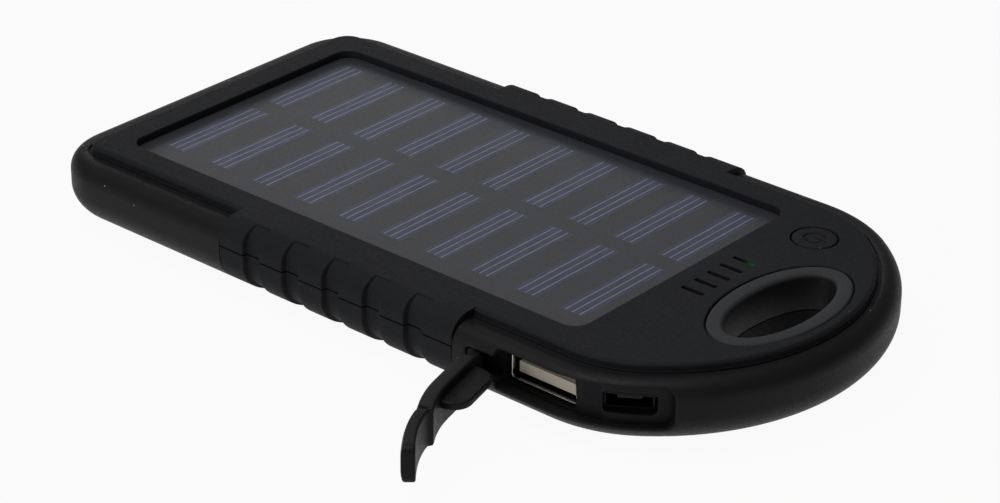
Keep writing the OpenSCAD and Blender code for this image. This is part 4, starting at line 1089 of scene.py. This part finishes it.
# USB shell: folded sheet as a rounded tube, its rim rounded at the mouth

sheetForm = {"sheet": 0.3, "cornerR": 0.75, "shadeStart": 0.1, "shadeFull": 0.7}
# the same plated sheet on the port, with a brown painted shade inside the tube past its bright rim
portSteel = finish("nickelSteelPaintedShade", *steelLook, paintedShade=(
    "Y", usbLow[1] + sheetForm["shadeStart"], usbLow[1] + sheetForm["shadeFull"], "#4a3c2e"))


def tubePatches(low, high, look):
    # each row is the rounded rectangle drawn in by its depth, at its own place along the tube
    loop, out = rectLoop(low[[0, 2]], high[[0, 2]], look["cornerR"], 8)
    turn, half = np.linspace(0, np.pi, 9), look["sheet"] / 2
    deep = np.concatenate([[0.0], half - half * np.cos(turn), [look["sheet"]]])
    y = np.concatenate([[high[1]], low[1] + half - half * np.sin(turn), [high[1]]])
    grid = lifted(loop - deep[:, None, None] * out, y)[..., [0, 2, 1]]
    return [gridPatch(grid, wrapRows=True, wrapColumns=True)]


makePiece("usbShell", tubePatches(usbLow, usbHigh, sheetForm), portSteel, ["usb_a_shell"])


# Screws: heads turned with a cross sunk into them, shanks above

headForm = {"headR": 1.6, "edge": 0.2, "edgeIn": 0.06, "shankR": 1.0, "headZ": 2.3, "rings": 26,
            "crossHalf": 0.26, "crossReach": 0.95, "crossWall": 0.05, "crossEnd": 0.1, "crossDeep": 0.55}


def screwPatch(spot):
    # surface of revolution with a cross-shaped dip in its face
    headR, edge, edgeIn, shankR, headZ, rings, wall, end = pick(
        headForm, "headR edge edgeIn shankR headZ rings crossWall crossEnd")
    low, high = screwLow[2], screwHigh[2]
    r = np.append(np.linspace(0, headR - edge, rings), [headR - edgeIn, headR, headR, shankR, shankR, 0.0])
    z = np.append(np.full(rings, low), [low + edgeIn, low + edge, headZ, headZ, high, high])
    plan = r[:, None, None] * circle(72)
    across, along = np.abs(plan).min(-1), np.abs(plan).max(-1)
    dip = (smooth((headForm["crossHalf"] + wall - across) / (2 * wall))
           * smooth((headForm["crossReach"] + end - along) / (2 * end)))
    rise = headForm["crossDeep"] * dip * (np.arange(len(r)) < rings)[:, None]
    return gridPatch(np.dstack([plan + spot, z[:, None] + rise]), wrapColumns=True)


makePiece("crossHeadScrews", [screwPatch(spot) for spot in baseForm["screwSpots"]], platedSteel,
          ["case_screws"])


# Light pipe: clear resin, lit green under the far slot

pipeForm = {"farRoom": 0.8, "litFrom": -0.3, "litTo": 0.9, "litDeep": 0.3, "strength": 9.0, "green": "#35c46a"}
pipeTop = nodeBox("light_pipe")[1][2]


def lightPipeResin():
    # clear acrylic; a lamp shines through the top of it under the far slot's end
    material = finish("clearAcrylic", "#1f2321", "#262a28", 2.0, 0.2, 0.005, (0.25, 0.35), 0.5, 0.15)
    tree = material.node_tree
    inputs = tree.nodes["Principled BSDF"].inputs
    spot = addNode(tree, "SeparateXYZ", {0: addNode(tree, "TexCoord")["Object"]})
    far = maths(tree, "GREATER_THAN", spot["Y"], (slotY[-1] - pipeForm["farRoom"]) * mm)
    high = maths(tree, "GREATER_THAN", spot["Z"], (pipeTop - pipeForm["litDeep"]) * mm)
    litFrom, litTo = ((faceForm["slotX"] + pipeForm[key]) * mm for key in ("litFrom", "litTo"))
    lit = ramp(tree, spot["X"], litFrom, litTo, 0.0, pipeForm["strength"])
    tree.links.new(maths(tree, "MULTIPLY", maths(tree, "MULTIPLY", far, lit), high), inputs["Emission Strength"])
    inputs["Emission Color"].default_value = linear(pipeForm["green"])
    return material


# Inner parts and ports keep their CAD shape and take their finishes here, by their own name or by their slot

keptFinishes = {
    "light_pipe": lightPipeResin(), "panel_tape": blackTape, "panel_board": panelResin,
    "usb_a_tongue": tonguePlastic, "usb_a_contacts": contactGold, "micro_usb_shell": blackSteel,
}
slotFinishes = {
    "led_body": lampResin, "board_green": boardResist, "bright_metal": platedSteel, "chip_black": chipEpoxy,
    "ceramic_tan": tanCeramic, "pouch_foil": pouchFilm, "foam_grey": padFoam, "lead_red": redLead,
    "lead_black": blackLead,
}


def finishKept():
    slots = {part["node"]: part["material_slot"] for part in frame["record"]["subparts"]}
    kept = {name: node for name, node in frame["nodes"].items() if not node.hide_render}
    for name, node in kept.items():
        node.data.materials.clear()
        node.data.materials.append(keptFinishes.get(name) or slotFinishes[slots[name]])
    print("CAD nodes kept:", len(kept))


finishKept()
